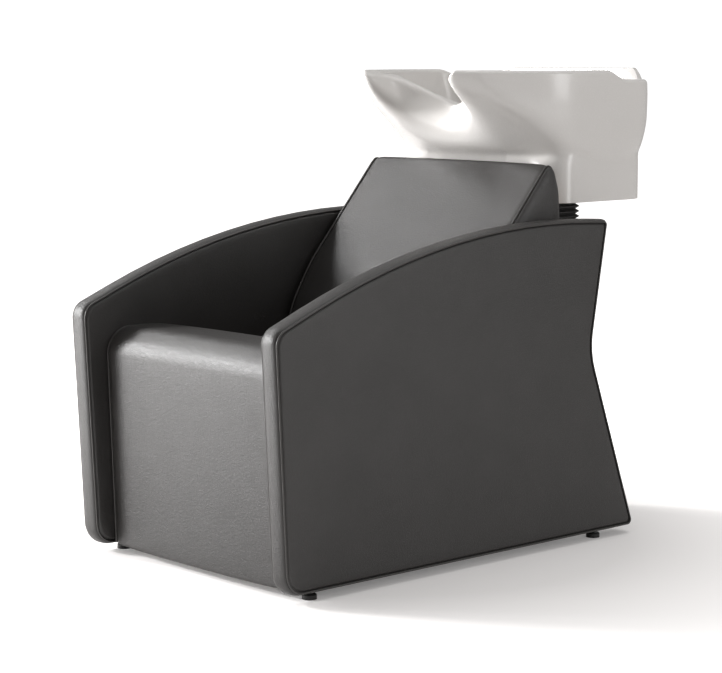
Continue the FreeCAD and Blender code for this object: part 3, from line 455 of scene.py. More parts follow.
# From the middle of the band to the middle of a side: distance across, then how far drawn in
ARM_SECTION = (
    (0.0, 0.0), (6.0, 0.15), (11.0, 0.7), (15.0, 1.7), (17.4, 3.0), (18.5, 4.6), (18.7, 8.2),
    (19.8, 9.6), (21.0, 10.8), (22.0, 13.0), (22.5, 17.5), (22.8, 23.0), (23.0, 32.0),
    (23.3, 55.0), (23.6, 100.0),
)
# The cord lies in the groove between the band and a side
ARM_CORD_ACROSS, ARM_CORD_INSET, ARM_CORD_RADIUS = 20.1, 5.6, 1.9


def arm_line(inset):
    return rounded(drawn_in(ARM_POINTS, inset), ARM_RADII, 12, 16)


def make_arm(side, prefix):
    across = mirrored([(-away, inset) for away, inset in ARM_SECTION[::-1]])
    stations = [(side * (ARM_MIDDLE + away), inset) for away, inset in across]
    cover = skin(prefix + "_arm_cover", side_profile(arm_line, stations), hide)
    part_of(cover, "base", "upholstery", prefix + "_arm_edge_band", prefix + "_arm_outer_panel",
            prefix + "_arm_inner_panel")


make_arm(1, "left")
make_arm(-1, "right")
make_welts("arm_welts", "arm_piping",
           [side * (ARM_MIDDLE + face * ARM_CORD_ACROSS) for side in (1, -1) for face in (1, -1)],
           arm_line(ARM_CORD_INSET), ARM_CORD_RADIUS, True)


# Seat

SEAT_HALF = 268.0
SEAT_CREST, CREST_REAR = 457.0, 175.0
SEAT_REAR = (524.0, 363.6)
SEAT_DEPTH = 70.0
APRON_REAR = 112.0
SEAT_RADII = (8.0, 95.0, 150.0, 8.0, 8.0, 8.0, 8.0)
# Points on each corner's arc, and runs on each side between two corners
SEAT_ARC, SEAT_RUN = 14, 12
# From the side face towards the middle: distance in, then how far drawn in
SEAT_SECTION = (
    (0.0, 26.0), (0.0, 12.0), (0.4, 7.5), (1.4, 5.2), (2.8, 4.6), (3.6, 5.6), (4.6, 3.9),
    (6.5, 2.2), (10.0, 1.0), (17.0, 0.3), (32.0, -0.3), (70.0, -1.4), (140.0, -2.5), (SEAT_HALF, -3.0),
)
SEAT_CORD_IN, SEAT_CORD_INSET, SEAT_CORD_RADIUS = 3.4, 3.1, 1.7


def seat_outline():
    """The side view: up the front, over the crest to the rear edge, and back along the underside."""
    rear_y, rear_z = SEAT_REAR
    slope = math.atan2(SEAT_CREST - rear_z, rear_y - CREST_REAR)
    under_y = rear_y - SEAT_DEPTH * math.sin(slope)
    under_z = rear_z - SEAT_DEPTH * math.cos(slope)
    bend_z = under_z + (under_y - APRON_REAR) * math.tan(slope)
    return [(67.0, FOOT_GAP), (50.0, SEAT_CREST), (CREST_REAR, SEAT_CREST), SEAT_REAR,
            (under_y, under_z), (APRON_REAR, bend_z), (APRON_REAR, FOOT_GAP)]


SEAT_POINTS = seat_outline()


def seat_line(inset):
    moved = drawn_in(SEAT_POINTS, inset)
    if inset < 0:
        # Where the face puffs out, the underside keeps its place on the deck
        moved[4:] = SEAT_POINTS[4:]
    return rounded(moved, SEAT_RADII, SEAT_ARC, SEAT_RUN)


def make_seat():
    stations = mirrored([(SEAT_HALF - near, inset) for near, inset in SEAT_SECTION])
    seat = skin("seat_pad", side_profile(seat_line, stations), hide)
    part_of(seat, "base", "upholstery", "seat_cushion")


def make_seat_welts():
    """Cords from the front foot's corner over the crest into the rear edge's, three corners on."""
    line = seat_line(SEAT_CORD_INSET)[SEAT_ARC // 2:3 * (SEAT_ARC + SEAT_RUN) + 4]
    across = SEAT_HALF - SEAT_CORD_IN
    make_welts("seat_welts", "seat_piping", (across, -across), line, SEAT_CORD_RADIUS)


make_seat()
make_seat_welts()


# Back

BACK_HALF = 252.0
PAD_DEPTH = 60.0
FACE_POINTS = [(497.0, 377.0), (527.0, 474.0), (577.0, 556.0), (776.0, 786.0)]
REAR_POINTS = [(798.0, 720.0), (806.0, 600.0), (727.0, 600.0), (580.0, 350.0)]
PAD_RADII = (10.0, 200.0, 350.0, 14.0, 10.0, 350.0, 150.0, 8.0)
CHEEK_RADII = (10.0, 200.0, 350.0, 14.0, 100.0, 10.0, 12.0, 8.0)
BACK_ARC, BACK_RUN = 10, 12
# The pad, from its side towards the middle: distance in, then how far drawn in
PAD_SECTION = (
    (0.0, 22.0), (0.0, 9.0), (0.3, 5.0), (1.4, 3.6), (3.2, 2.4), (6.5, 1.3), (12.0, 0.5),
    (22.0, 0.0), (45.0, -1.6), (90.0, -4.2), (150.0, -6.2), (BACK_HALF, -7.0),
)
# A cheek, from the pad's side outwards: distance from the middle, then how far drawn in
CHEEK_SECTION = (
    (BACK_HALF, 20.0), (BACK_HALF, 8.0), (252.4, 4.6), (253.6, 3.2), (256.0, 2.6), (259.0, 3.6),
    (261.5, 6.0), (263.4, 10.0), (264.8, 16.0), (265.6, 24.0), (265.9, 34.0),
)
BACK_CORD_ACROSS, BACK_CORD_INSET, BACK_CORD_RADIUS = 252.2, 1.6, 1.9


def parallel(points, distance):
    """The open run of points moved to its right, with mitred corners."""
    moved = []
    for i, point in enumerate(points):
        here = Vector(point)
        normals = []
        for other, sign in ((i - 1, 1), (i + 1, -1)):
            if 0 <= other < len(points):
                run = ((here - Vector(points[other])) * sign).normalized()
                normals.append(Vector((run.y, -run.x)))
        middle = (normals[0] + normals[-1]).normalized()
        moved.append(tuple(here + middle * (distance / middle.dot(normals[0]))))
    return moved


# The pad's rear, from the back's upper rear corner down along a line PAD_DEPTH behind its face
PAD_REAR = [REAR_POINTS[0]] + parallel(FACE_POINTS, PAD_DEPTH)[2::-1]


def pad_line(inset):
    """The pad's side view: drawn in all round, or with its face puffed forward where negative."""
    forward = max(-inset, 0)
    points = [(y - forward, z) for y, z in FACE_POINTS] + PAD_REAR
    return rounded(drawn_in(points, max(inset, 0)), PAD_RADII, BACK_ARC, BACK_RUN)


def cheek_line(inset):
    return rounded(drawn_in(FACE_POINTS + REAR_POINTS, inset), CHEEK_RADII, BACK_ARC, BACK_RUN)


def make_back_pad():
    stations = mirrored([(BACK_HALF - near, inset) for near, inset in PAD_SECTION])
    back = skin("back_pad", side_profile(pad_line, stations), hide)
    part_of(back, "base", "upholstery", "back_cushion")


def make_cheek(side, prefix):
    stations = [(side * x, inset) for x, inset in finer(CHEEK_SECTION)]
    cheek = skin(prefix + "_cheek_pad", side_profile(cheek_line, stations), hide)
    part_of(cheek, "base", "upholstery", prefix + "_back_cheek")


def make_back_welts():
    """Cords from the foot of the face over the top into the rear's upper bend, four corners on."""
    line = cheek_line(BACK_CORD_INSET)[BACK_ARC // 2:4 * (BACK_ARC + BACK_RUN) + 4]
    places = (BACK_CORD_ACROSS, -BACK_CORD_ACROSS)
    make_welts("back_welts", "back_piping", places, line, BACK_CORD_RADIUS)


make_back_pad()
make_cheek(1, "left")
make_cheek(-1, "right")
make_back_welts()


# Rear panel

REAR_LOW, REAR_HIGH = 63.0, 646.0
REAR_CORNERS = (
    (-SEAT_HALF, REAR_LOW), (-SEAT_HALF, REAR_HIGH), (SEAT_HALF, REAR_HIGH), (SEAT_HALF, REAR_LOW),
)
# From the board to the middle of the face: Y, then how far drawn in
REAR_SECTION = (
    (824.0, 30.0), (824.0, 2.0), (824.6, 0.4), (827.0, 0.0), (830.0, 1.2), (832.4, 4.0), (833.6, 9.0),
    (834.4, 20.0), (834.8, 60.0),
)


def rear_line(inset):
    return rounded(drawn_in(REAR_CORNERS, inset), (8.0,) * 4, 6, 16)


def make_rear_pad():
    rings = [[place(x, y, z) for x, z in rear_line(inset)] for y, inset in finer(REAR_SECTION)]
    rear_pad = skin("rear_pad", rings, hide)
    part_of(rear_pad, "base", "upholstery", "rear_panel_pad")


make_rear_pad()


# Bellows and hose

# The bellows, the hose and the drain share an upright axis here
AXIS_Y = 962.0
BELLOWS_LOW, BELLOWS_HIGH = 641.0, 690.0
BELLOWS_HALF_X, BELLOWS_HALF_Y, BELLOWS_CORNER = 118.0, 77.0, 40.0
BELLOWS_WALL = 2.0
# The plain cuff at each end, the flat edge of it, and how deep the ends stand behind the folds' crests
CUFF, CUFF_EDGE, CUFF_INSET = 2.94, 2.6, 8.0
FOLDS = 4
# One fold: the share of its height, then how deep it lies behind its crest
FOLD = (
    (0.02, 7.6), (0.22, 4.0), (0.38, 0.9), (0.46, 0.1),
    (0.54, 0.1), (0.62, 0.9), (0.78, 4.0), (0.98, 7.6),
)


def bellows_line(inset):
    half_x, half_y = BELLOWS_HALF_X - inset, BELLOWS_HALF_Y - inset
    front, rear = AXIS_Y - half_y, AXIS_Y + half_y
    points = ((-half_x, front), (half_x, front), (half_x, rear), (-half_x, rear))
    return rounded(points, (BELLOWS_CORNER - inset,) * 4, 10, 6)


def make_bellows():
    pitch = (BELLOWS_HIGH - BELLOWS_LOW - 2 * CUFF) / FOLDS
    levels = [(BELLOWS_LOW, CUFF_INSET), (BELLOWS_LOW + CUFF_EDGE, CUFF_INSET)]
    for fold in range(FOLDS):
        low = BELLOWS_LOW + CUFF + fold * pitch
        levels += [(low + pitch * share, depth) for share, depth in FOLD]
    levels += [(BELLOWS_HIGH - CUFF_EDGE, CUFF_INSET), (BELLOWS_HIGH, CUFF_INSET)]
    levels += [(z, depth + BELLOWS_WALL) for z, depth in levels[::-1]]
    rings = [[place(x, y, z) for x, y in bellows_line(depth)] for z, depth in levels]
    bellows = looped("bellows_skin", rings, black_rubber)
    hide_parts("bellows")
    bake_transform(bellows)


HOSE_LOW, HOSE_HIGH = 276.0, 626.0
HOSE_BORE, HOSE_OUTSIDE = 22.1, 24.1
HOSE_CUFF, CUFF_STEP = 20.0, 0.5
RIBS, RIB_HEIGHT = 18, 2.6
# One rib: the share of the pitch, then the share of its height
RIB = ((0.05, 0.0), (0.25, 0.3), (0.36, 0.85), (0.5, 1.0), (0.64, 0.85), (0.75, 0.3), (0.95, 0.0))


def make_hose():
    ribs_low, ribs_high = HOSE_LOW + HOSE_CUFF, HOSE_HIGH - HOSE_CUFF
    pitch = (ribs_high - ribs_low) / RIBS
    levels = [(HOSE_LOW, HOSE_BORE), (HOSE_LOW, HOSE_OUTSIDE), (ribs_low - CUFF_STEP, HOSE_OUTSIDE)]
    for rib in range(RIBS):
        low = ribs_low + rib * pitch
        levels += [(low + pitch * share, HOSE_OUTSIDE + RIB_HEIGHT * rise) for share, rise in RIB]
    levels += [(ribs_high + CUFF_STEP, HOSE_OUTSIDE), (HOSE_HIGH, HOSE_OUTSIDE), (HOSE_HIGH, HOSE_BORE)]
    levels.append(levels[0])
    rings = [[place(x, y, z) for x, y in circle(0, AXIS_Y, radius, 40)] for z, radius in levels]
    hose = skin("ribbed_hose", rings, black_rubber, False)
    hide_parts("waste_hose")
    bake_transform(hose)


make_bellows()
make_hose()


# Basin outlines

RIM, UNDERSIDE, BOWL_FLOOR_TOP, BOWL_REAR = 960.0, 690.0, 716.0, 1006.0
WALL = 19.0
# How far the rim rolls over on each side, or the share of its width where it is narrow
ROLL, ROLL_SHARE = 9.0, 0.42
# The block under the bowl ends at the first height, and the overhang has taken over at the second
BLOCK_TOP, OVERHANG = 766.0, 800.0
BLOCK_HALF, BLOCK_FRONT, BLOCK_REAR, BLOCK_CORNER = 240.0, 812.0, 1103.0, 66.0
# The block's half at positive X, with as many corners as a basin level; the extra ones hardly bend
BLOCK_POINTS = (
    (0.0, BLOCK_FRONT + 0.2), (60.0, BLOCK_FRONT - 0.2), (120.0, BLOCK_FRONT + 0.2),
    (BLOCK_HALF, BLOCK_FRONT), (BLOCK_HALF - 0.3, 950.0), (BLOCK_HALF, BLOCK_REAR),
)
STRAIGHT = 6000.0
BLOCK_RADII = (STRAIGHT, STRAIGHT, STRAIGHT, BLOCK_CORNER, STRAIGHT, BLOCK_CORNER)
# Height, the neck's Y, then the corners at positive X as X and Y: the neck's flank, the horn, the front
# corner, the side and the rear; last the length over which the outline is softened
BASIN_LEVELS = (
    (785.0, 788.0, 70, 791, 115, 797, 234, 834, 245, 905, 244, 1105, 20.0),
    (815.0, 752.0, 70, 750, 115, 752, 234, 808, 250, 892, 252, 1112, 26.0),
    (851.0, 744.0, 78, 724, 116, 702, 220, 760, 254, 864, 257, 1117, 30.0),
    (886.0, 766.0, 91, 710, 119, 658, 200, 708, 255, 846, 258, 1118, 22.0),
    (907.0, 777.0, 98, 702, 118, 632, 188, 686, 256, 838, 258, 1118, 15.0),
    (935.0, 781.0, 104, 689, 116, 608, 175, 664, 257, 832, 257, 1117, 6.0),
    (964.0, 779.0, 106, 685, 115, 597, 168, 655, 257, 830, 257, 1116, 1.0),
)
BASIN_RADII = (30.0, 40.0, 12.0, 60.0, 260.0, 80.0)
# Height, then the share of the way from rim to floor: in width, then along Y at the neck and elsewhere
BOWL_LEVELS = (
    (BOWL_FLOOR_TOP, 1.0, 0.9, 1.0), (789.9, 0.4, 0.55, 0.84),
    (869.1, 0.12, 0.16, 0.33), (980.0, 0.0, 0.0, 0.0),
)
# The corners of the floor at positive X, from the neck round to the rear
BOWL_FLOOR = ((0.0, 896.0), (60.0, 896.0), (102.0, 905.0), (112.0, 920.0), (120.0, 950.0), (120.0, BOWL_REAR))
BOWL_RIM_RADII = (45.0, 25.0, 9.0, 60.0, 240.0, 90.0)
BOWL_FLOOR_RADII = (60.0, 60.0, 60.0, 60.0, 60.0, 54.0)
# The bowl's lines are softened over the first length down to 930, and over both together from 850 down
BOWL_SOFT, BOWL_SOFTER = 1, 22
ARC, RUN = 12, 18


def both_sides(right):
    return list(right) + [(-x, y) for x, y in right[:0:-1]]


def two_sided(radii):
    return list(radii) + list(radii[:0:-1])


def basin_corners(height):
    values = eased(BASIN_LEVELS, height)
    pairs = zip(values[1:-1:2], values[2:-1:2])
    return both_sides([(0.0, values[0])] + list(pairs)), values[-1]


def softened(line, length):
    """A closed line smoothed over this length, with its points kept at their places along it."""
    points = numpy.array(line)
    steps = numpy.linalg.norm(numpy.roll(points, -1, 0) - points, axis=1)
    along = numpy.concatenate([[0], numpy.cumsum(steps)])
    count = int(along[-1] / 2)
    even = numpy.arange(count) * along[-1] / count
    fade = numpy.exp(-2 * (math.pi * length * numpy.fft.rfftfreq(count, along[-1] / count)) ** 2)
    smooth = []
    for column in points.T:
        fine = numpy.interp(even, along, numpy.append(column, column[0]))
        fine = numpy.fft.irfft(numpy.fft.rfft(fine) * fade, count)
        smooth.append(numpy.interp(along[:-1], even, fine, period=along[-1]))
    return list(zip(*smooth))


BLOCK = rounded(both_sides(BLOCK_POINTS), two_sided(BLOCK_RADII), ARC, RUN)
# Each of these is one point's number in every ring of the basin
SPAN = range(len(BLOCK))


def basin_ring(height):
    """The basin's outline at a height: the block below, the overhanging bowl above."""
    corners, length = basin_corners(height)
    line = rounded(corners, two_sided(BASIN_RADII), ARC, RUN)
    # The rear corners stay as they are, and the softening fades in towards the front
    line = [mixed(sharp, soft, smooth_step(sharp[1], 1060, 960))
            for sharp, soft in zip(line, softened(line, length))]
    share = smooth_step(height, BLOCK_TOP, OVERHANG)
    return [mixed(low, high, share) for low, high in zip(BLOCK, line)]


def bowl_ring(height):
    """The bowl's inside at a height."""
    rim = drawn_in(basin_corners(RIM)[0], WALL)[:5]
    rim.append((rim[-1][0], BOWL_REAR))
    narrow, neck_back, back = eased(BOWL_LEVELS, height)
    half = []
    for i, ((rim_x, rim_y), (floor_x, floor_y)) in enumerate(zip(rim, BOWL_FLOOR)):
        half.append((rim_x + narrow * (floor_x - rim_x),
                     rim_y + (back if i else neck_back) * (floor_y - rim_y)))
    radii = mixed(BOWL_RIM_RADII, BOWL_FLOOR_RADII, narrow)
    line = rounded(both_sides(half), two_sided(radii), ARC, RUN)
    return softened(line, BOWL_SOFT + BOWL_SOFTER * smooth_step(height, 930, 850))


# The neck saddle in front of this Y: where its slopes would meet, their rise, and its round's height there
SADDLE_REAR, SADDLE, SADDLE_RISE, SADDLE_ROUND = 802, 874, 0.637, 14.5
# The tap ledge lies this far under the rim, at the foot of a ramp between these two places
LEDGE_DROP, RAMP_START, RAMP_END = 20, 946, 1007
# The rear lip's top, the two places across between which it rises, and the two along Y
LIP_TOP, LIP_OUT, LIP_IN, LIP_START, LIP_END = 964, 210, 187, 1094.5, 1099


def top_height(x, y):
    """The height of the basin's top: neck saddle, level rim, sloping ramp, tap ledge and rear lip."""
    across = abs(x)
    if y < SADDLE_REAR:
        return min(RIM, SADDLE + math.hypot(SADDLE_RISE * across, SADDLE_ROUND))
    ledge = RIM - LEDGE_DROP * smooth_step(y, RAMP_START, RAMP_END)
    lip = smooth_step(across, LIP_OUT, LIP_IN) * smooth_step(y, LIP_START, LIP_END)
    return ledge + lip * (LIP_TOP - ledge)


def nearest_on(line, point):
    """Where on a closed line a point is nearest, counted in runs of the line."""
    best = (math.inf, 0.0)
    for i, start in enumerate(line):
        end = line[(i + 1) % len(line)]
        run = (end[0] - start[0], end[1] - start[1])
        along = (point[0] - start[0]) * run[0] + (point[1] - start[1]) * run[1]
        along = min(max(along / (run[0] ** 2 + run[1] ** 2), 0.0), 1.0)
        gap = (start[0] + along * run[0] - point[0]) ** 2 + (start[1] + along * run[1] - point[1]) ** 2
        best = min(best, (gap, i + along))
    return best[1]


def on_line(line, spot):
    index = math.floor(spot)
    return mixed(line[index % len(line)], line[(index + 1) % len(line)], spot - index)


def facing(line, edges):
    """The places on a closed line that face the edge points, in their order and without two alike."""
    count = len(edges)
    spots = [nearest_on(line, edge) for edge in edges]
    for i in range(1, count):
        while spots[i] < spots[i - 1] - count / 2:
            spots[i] += count
        while spots[i] > spots[i - 1] + count / 2:
            spots[i] -= count
    for _ in range(12):
        around = [spots[-1] - count] + spots + [spots[0] + count]
        spots = [(around[i] + 2 * around[i + 1] + around[i + 2]) / 4 for i in range(count)]
    return spots


# Rings are made once at even steps of height, and a height between two of them blends the two
STEP = 4.0
BOWL_LOW = BOWL_FLOOR_TOP - 2 * STEP
outer_rings = {UNDERSIDE + STEP * k: basin_ring(UNDERSIDE + STEP * k) for k in range(70)}
bowl_rings = {BOWL_LOW + STEP * k: bowl_ring(BOWL_LOW + STEP * k) for k in range(66)}


def step_below(low, height):
    """The level at or under a height, and the height's share of the step up from there."""
    level = low + STEP * math.floor((height - low) / STEP)
    return level, (height - level) / STEP


def outer_point(i, height):
    level, share = step_below(UNDERSIDE, height)
    return mixed(outer_rings[level][i], outer_rings[level + STEP][i], share)


# The rim at each point: its top, its outer edge, the bowl's mouth facing it, and how wide it is

mouth = bowl_ring(RIM)
tops = [top_height(*outer_point(i, RIM - 20)) for i in SPAN]
tops = [top_height(*outer_point(i, tops[i] - ROLL)) for i in SPAN]
edges = [outer_point(i, tops[i] - ROLL) for i in SPAN]
spots = facing(mouth, edges)
insides = [on_line(mouth, spot) for spot in spots]
widths = [math.dist(edge, inside) for edge, inside in zip(edges, insides)]
rolls = [min(ROLL, ROLL_SHARE * width) for width in widths]


def inner_point(i, height):
    """A point of the bowl's inside, which leaves the mouth's line over the first 60 below the top."""
    level, share = step_below(BOWL_LOW, height)
    below = mixed(on_line(bowl_rings[level], spots[i]), on_line(bowl_rings[level + STEP], spots[i]), share)
    return mixed(insides[i], below, smooth_step(tops[i] - height, 0, 60))


def over_rim(i, distance, drop):
    """A point this far from the outer edge towards the mouth, this far under the top."""
    x, y = mixed(edges[i], insides[i], distance / widths[i])
    return (x, y, top_height(x, y) - drop)


def shrunk(x, y, keep):
    """A point with this share kept of its distance from the axis."""
    return x * keep, AXIS_Y + (y - AXIS_Y) * keep


def turns(*degrees):
    """How far a quarter round has gone in, and how far it is still under its top, at these angles."""
    return [(1 - math.cos(math.radians(angle)), 1 - math.sin(math.radians(angle))) for angle in degrees]


# Basin rings

BODY_HEIGHTS = (690.6, 692.5, 697, 712, 730, 748, 762, 770, 775, 779, 783, 787, 791, 795, OVERHANG)
OVERHANG_RINGS, BOWL_RINGS = 22, 26
FLAT_SHARES = (0.06, 0.1, 0.115, 0.13, 0.16, 0.25, 0.4, 0.6, 0.8, 1.0)
# The round between the bowl's side and floor ends at least this far from the axis
FILLET, FILLET_END = 22, 37
# The skin's last ring lies inside the flange's seat, which a cutter takes away
DRAIN_RING = 30


def outside_rings():
    """From the underside up the block and the overhang to where the rim starts to roll."""
    rings = [[shrunk(x, y, 0.985) + (UNDERSIDE,) for x, y in BLOCK]]
    for height in BODY_HEIGHTS:
        rings.append([outer_point(i, height) + (height,) for i in SPAN])
    for share in (k / OVERHANG_RINGS for k in range(1, OVERHANG_RINGS + 1)):
        heights = [OVERHANG + share * (tops[i] - rolls[i] - OVERHANG) for i in SPAN]
        rings.append([outer_point(i, heights[i]) + (heights[i],) for i in SPAN])
    return rings


def rim_rings():
    """Over the rim: the outer roll, the flat and the inner roll."""
    rings = []
    for over, under in turns(15, 30, 45, 60, 75, 90):
        rings.append([over_rim(i, rolls[i] * over, rolls[i] * under) for i in SPAN])
    for share in FLAT_SHARES:
        rings.append([over_rim(i, rolls[i] + share * (widths[i] - 2 * rolls[i]), 0) for i in SPAN])
    for over, under in turns(75, 60, 45, 30, 15, 0):
        rings.append([over_rim(i, widths[i] - rolls[i] * over, rolls[i] * under) for i in SPAN])
    return rings


def bowl_rings_from(start):
    """Down the bowl's side from these heights to where the floor's round starts."""
    rings = []
    for share in (k / BOWL_RINGS for k in range(1, BOWL_RINGS)):
        heights = [height + share * (BOWL_FLOOR_TOP + FILLET - height) for height in start]
        rings.append([inner_point(i, heights[i]) + (heights[i],) for i in SPAN])
    return rings


def floor_rings():
    """Round from the bowl's side onto its floor, then in to the drain."""
    foot = [inner_point(i, BOWL_FLOOR_TOP + FILLET) for i in SPAN]
    away = [math.dist(point, (0, AXIS_Y)) for point in foot]
    rings = []
    for over, under in turns(0, 15, 30, 45, 60, 75, 90):
        keep = [1 - min(FILLET, far - FILLET_END) * over / far for far in away]
        height = BOWL_FLOOR_TOP + FILLET * under
        rings.append([shrunk(*point, k) + (height,) for point, k in zip(foot, keep)])
    last = [point[:2] for point in rings[-1]]
    away = [math.dist(point, (0, AXIS_Y)) for point in last]
    for share in (0.3, 0.6, 0.85, 1.0):
        keep = [1 - share * (1 - DRAIN_RING / far) for far in away]
        rings.append([shrunk(*point, k) + (BOWL_FLOOR_TOP,) for point, k in zip(last, keep)])
    return rings


# Basin

HOLLOW_HALF, HOLLOW_FRONT, HOLLOW_REAR, HOLLOW_TOP = 205.0, 1021.0, 1088.0, 925
# A cutter that ends in the open reaches past the surface, to these heights
BELOW_ALL, OVER_LEDGE, OVER_FLOOR = 670, 1000, 740
TAP_X, TAP_Y, TAP_RADIUS, SPRAY_RADIUS, TAP_START = 60, 1052, 17.5, 14, 900
DRAIN_RADIUS, FLANGE_RADIUS, FLANGE_LEVEL = 26, 34.1, 713
BOLT_X, BOLT_Y, BOLT_RADIUS, BOLT_END = 84, 46, 4.5, 702.5
SHARP_ANGLE = 42


def cutter(name, line, low, high):
    """A closed prism that a boolean takes away."""
    return skin(name, [[place(x, y, z) for x, y in line] for z in (low, high)], glazed)


def basin_cutters():
    hollow = ((-HOLLOW_HALF, HOLLOW_FRONT), (HOLLOW_HALF, HOLLOW_FRONT),
              (HOLLOW_HALF, HOLLOW_REAR), (-HOLLOW_HALF, HOLLOW_REAR))
    cutters = [
        cutter("rear_hollow", rounded(hollow, (20.0,) * 4, 8, 4), BELOW_ALL, HOLLOW_TOP),
        cutter("tap_bore", circle(-TAP_X, TAP_Y, TAP_RADIUS, 48), TAP_START, OVER_LEDGE),
        cutter("spray_bore", circle(TAP_X, TAP_Y, SPRAY_RADIUS, 48), TAP_START, OVER_LEDGE),
        cutter("drain_bore", circle(0, AXIS_Y, DRAIN_RADIUS, 48), BELOW_ALL, OVER_FLOOR),
        cutter("flange_seat", circle(0, AXIS_Y, FLANGE_RADIUS, 48), FLANGE_LEVEL, OVER_FLOOR),
    ]
    for x in (-BOLT_X, BOLT_X):
        for y in (AXIS_Y - BOLT_Y, AXIS_Y + BOLT_Y):
            cutters.append(cutter("bolt_bore", circle(x, y, BOLT_RADIUS, 48), BELOW_ALL, BOLT_END))
    return cutters


def cut_away(piece, cutters):
    """Takes the cutters out of a piece and removes them."""
    for tool in cutters:
        cut = piece.modifiers.new("Cut", "BOOLEAN")
        cut.operation = "DIFFERENCE"
        cut.solver = "EXACT"
        cut.object = tool
    bpy.context.view_layer.update()
    evaluated = piece.evaluated_get(bpy.context.evaluated_depsgraph_get())
    cut_mesh = bpy.data.meshes.new_from_object(evaluated)
    piece.modifiers.clear()
    piece.data = cut_mesh
    for tool in cutters:
        bpy.data.objects.remove(tool)


def shade_smooth(piece, limit):
    """Smooth faces, with an edge sharp where its faces meet at more than this angle."""
    work = bmesh.new()
    work.from_mesh(piece.data)
    for edge in work.edges:
        edge.smooth = len(edge.link_faces) == 2 and edge.calc_face_angle(0) < math.radians(limit)
    for face in work.faces:
        face.smooth = True
    work.to_mesh(piece.data)
    work.free()


def make_basin():
    rings = outside_rings() + rim_rings()
    rings += bowl_rings_from([point[2] for point in rings[-1]]) + floor_rings()
    basin = skin("basin_shell", [[place(*point) for point in ring] for ring in rings], glazed)
    cut_away(basin, basin_cutters())
    shade_smooth(basin, SHARP_ANGLE)
    part_of(basin, "basin", "glaze", "basin")


make_basin()


# Camera, placed as the photo's vanishing points give it

CAMERA_PLACE = (3.24808, -3.02544, 0.98527)
CAMERA_DIP, CAMERA_HEADING = 7.27, 47.67
SENSOR_WIDTH, LENS = 36, 109.02


def make_camera():
    camera = bpy.data.objects.new("camera", bpy.data.cameras.new("camera"))
    bpy.context.scene.collection.objects.link(camera)
    bpy.context.scene.camera = camera
    camera.location = CAMERA_PLACE
    camera.rotation_euler = (math.radians(90 - CAMERA_DIP), 0, math.radians(CAMERA_HEADING))
    camera.data.sensor_width = SENSOR_WIDTH
    camera.data.lens = LENS


make_camera()


# Floor, world and lights

FLOOR_HALF = 14
FLOOR_COLOUR, GLOW_COLOUR = (0.86, 0.84, 0.83, 1), (1, 0.985, 0.98, 1)
# The floor's own light grows from the first strength near the unit to the second at the far distance
GLOW_NEAR, GLOW_FAR, NEAR, FAR = 0.16, 1.0, 0.5, 1.8
AMBIENT_COLOUR, AMBIENT_STRENGTH = (1.0, 0.985, 0.97, 1), 0.36
BACKDROP_COLOUR, BACKDROP_STRENGTH = (1, 1, 1, 1), 1.05


def seen_or_not(tree, hidden, seen):
    """One shader for what the camera sees, another for the light that the object gets."""
    mix = tree.nodes.new("ShaderNodeMixShader")
    path = tree.nodes.new("ShaderNodeLightPath")
    tree.links.new(path.outputs["Is Camera Ray"], mix.inputs[0])
    tree.links.new(hidden, mix.inputs[1])
    tree.links.new(seen, mix.inputs[2])
    return mix.outputs[0]


def floor_paint():
    """Pale paint that also glows for the camera, more so away from the unit."""
    paint = bpy.data.materials.new("studio_floor")
    paint.use_nodes = True
    tree = paint.node_tree
    tree.nodes.clear()
    output = tree.nodes.new("ShaderNodeOutputMaterial")
    diffuse = tree.nodes.new("ShaderNodeBsdfDiffuse")
    diffuse.inputs["Color"].default_value = FLOOR_COLOUR
    glow = tree.nodes.new("ShaderNodeEmission")
    glow.inputs["Color"].default_value = GLOW_COLOUR
    here = tree.nodes.new("ShaderNodeTexCoord")
    reach = tree.nodes.new("ShaderNodeVectorMath")
    reach.operation = "LENGTH"
    tree.links.new(here.outputs["Object"], reach.inputs[0])
    strength = ramp(tree, reach.outputs["Value"], GLOW_NEAR, GLOW_FAR, NEAR, FAR)
    tree.links.new(strength, glow.inputs["Strength"])
    add = tree.nodes.new("ShaderNodeAddShader")
    tree.links.new(diffuse.outputs[0], add.inputs[0])
    tree.links.new(glow.outputs[0], add.inputs[1])
    tree.links.new(seen_or_not(tree, diffuse.outputs[0], add.outputs[0]), output.inputs[0])
    return paint


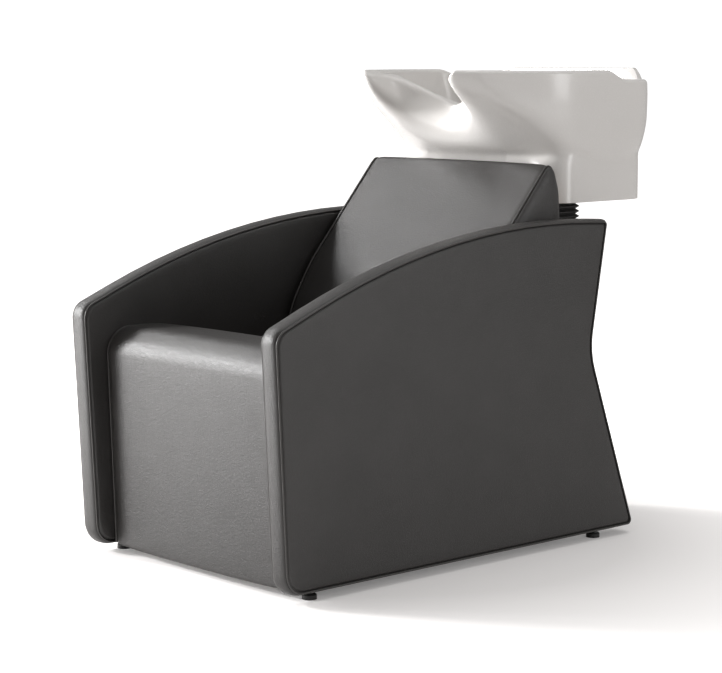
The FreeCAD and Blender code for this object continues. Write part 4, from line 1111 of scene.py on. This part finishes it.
def make_floor():
    side = FLOOR_HALF
    corners = [(-side, -side, 0), (side, -side, 0), (side, side, 0), (-side, side, 0)]
    floor = mesh_object("floor", corners, [(0, 1, 2, 3)], floor_paint(), False)


def background(tree, colour, strength):
    node = tree.nodes.new("ShaderNodeBackground")
    node.inputs["Color"].default_value = colour
    node.inputs["Strength"].default_value = strength
    return node.outputs[0]


def make_world():
    """Soft light all round, and a white backdrop for the camera."""
    world = bpy.data.worlds.new("studio")
    bpy.context.scene.world = world
    world.use_nodes = True
    tree = world.node_tree
    tree.nodes.clear()
    output = tree.nodes.new("ShaderNodeOutputWorld")
    ambient = background(tree, AMBIENT_COLOUR, AMBIENT_STRENGTH)
    backdrop = background(tree, BACKDROP_COLOUR, BACKDROP_STRENGTH)
    tree.links.new(seen_or_not(tree, ambient, backdrop), output.inputs[0])


def softbox(name, where, towards, width, height, power, mirrored_in_gloss=True):
    """A lamp at a place, turned towards another, with its size in metres and its power in watts."""
    data = bpy.data.lights.new(name, "AREA")
    data.shape = "RECTANGLE"
    data.size = width
    data.size_y = height
    data.energy = power
    lamp = bpy.data.objects.new(name, data)
    bpy.context.scene.collection.objects.link(lamp)
    lamp.visible_glossy = mirrored_in_gloss
    lamp.location = where
    lamp.rotation_euler = (Vector(towards) - Vector(where)).to_track_quat("-Z", "Y").to_euler()


make_floor()
make_world()
softbox("key", (-3.4, -1.32, 2.6), (0, -0.1, 0.45), 0.4, 0.4, 82, False)
softbox("key_sheen", (-2.5, -0.6, 2.6), (0, 0.1, 0.6), 0.6, 0.6, 36)
softbox("front", (-2.5, -2.6, 0.75), (0, -0.3, 0.5), 1.1, 0.7, 88)
softbox("roll", (-2.5, -2.2, 1.55), (0, -0.4, 0.45), 0.6, 0.4, 120)
softbox("side", (3.4, 1.0, 1.2), (0, 0.2, 0.6), 0.9, 1.8, 26)
softbox("top", (0.3, 0.6, 3.6), (0, 0, 0.5), 2.6, 2.6, 32)

bpy.context.scene.view_settings.view_transform = "Standard"
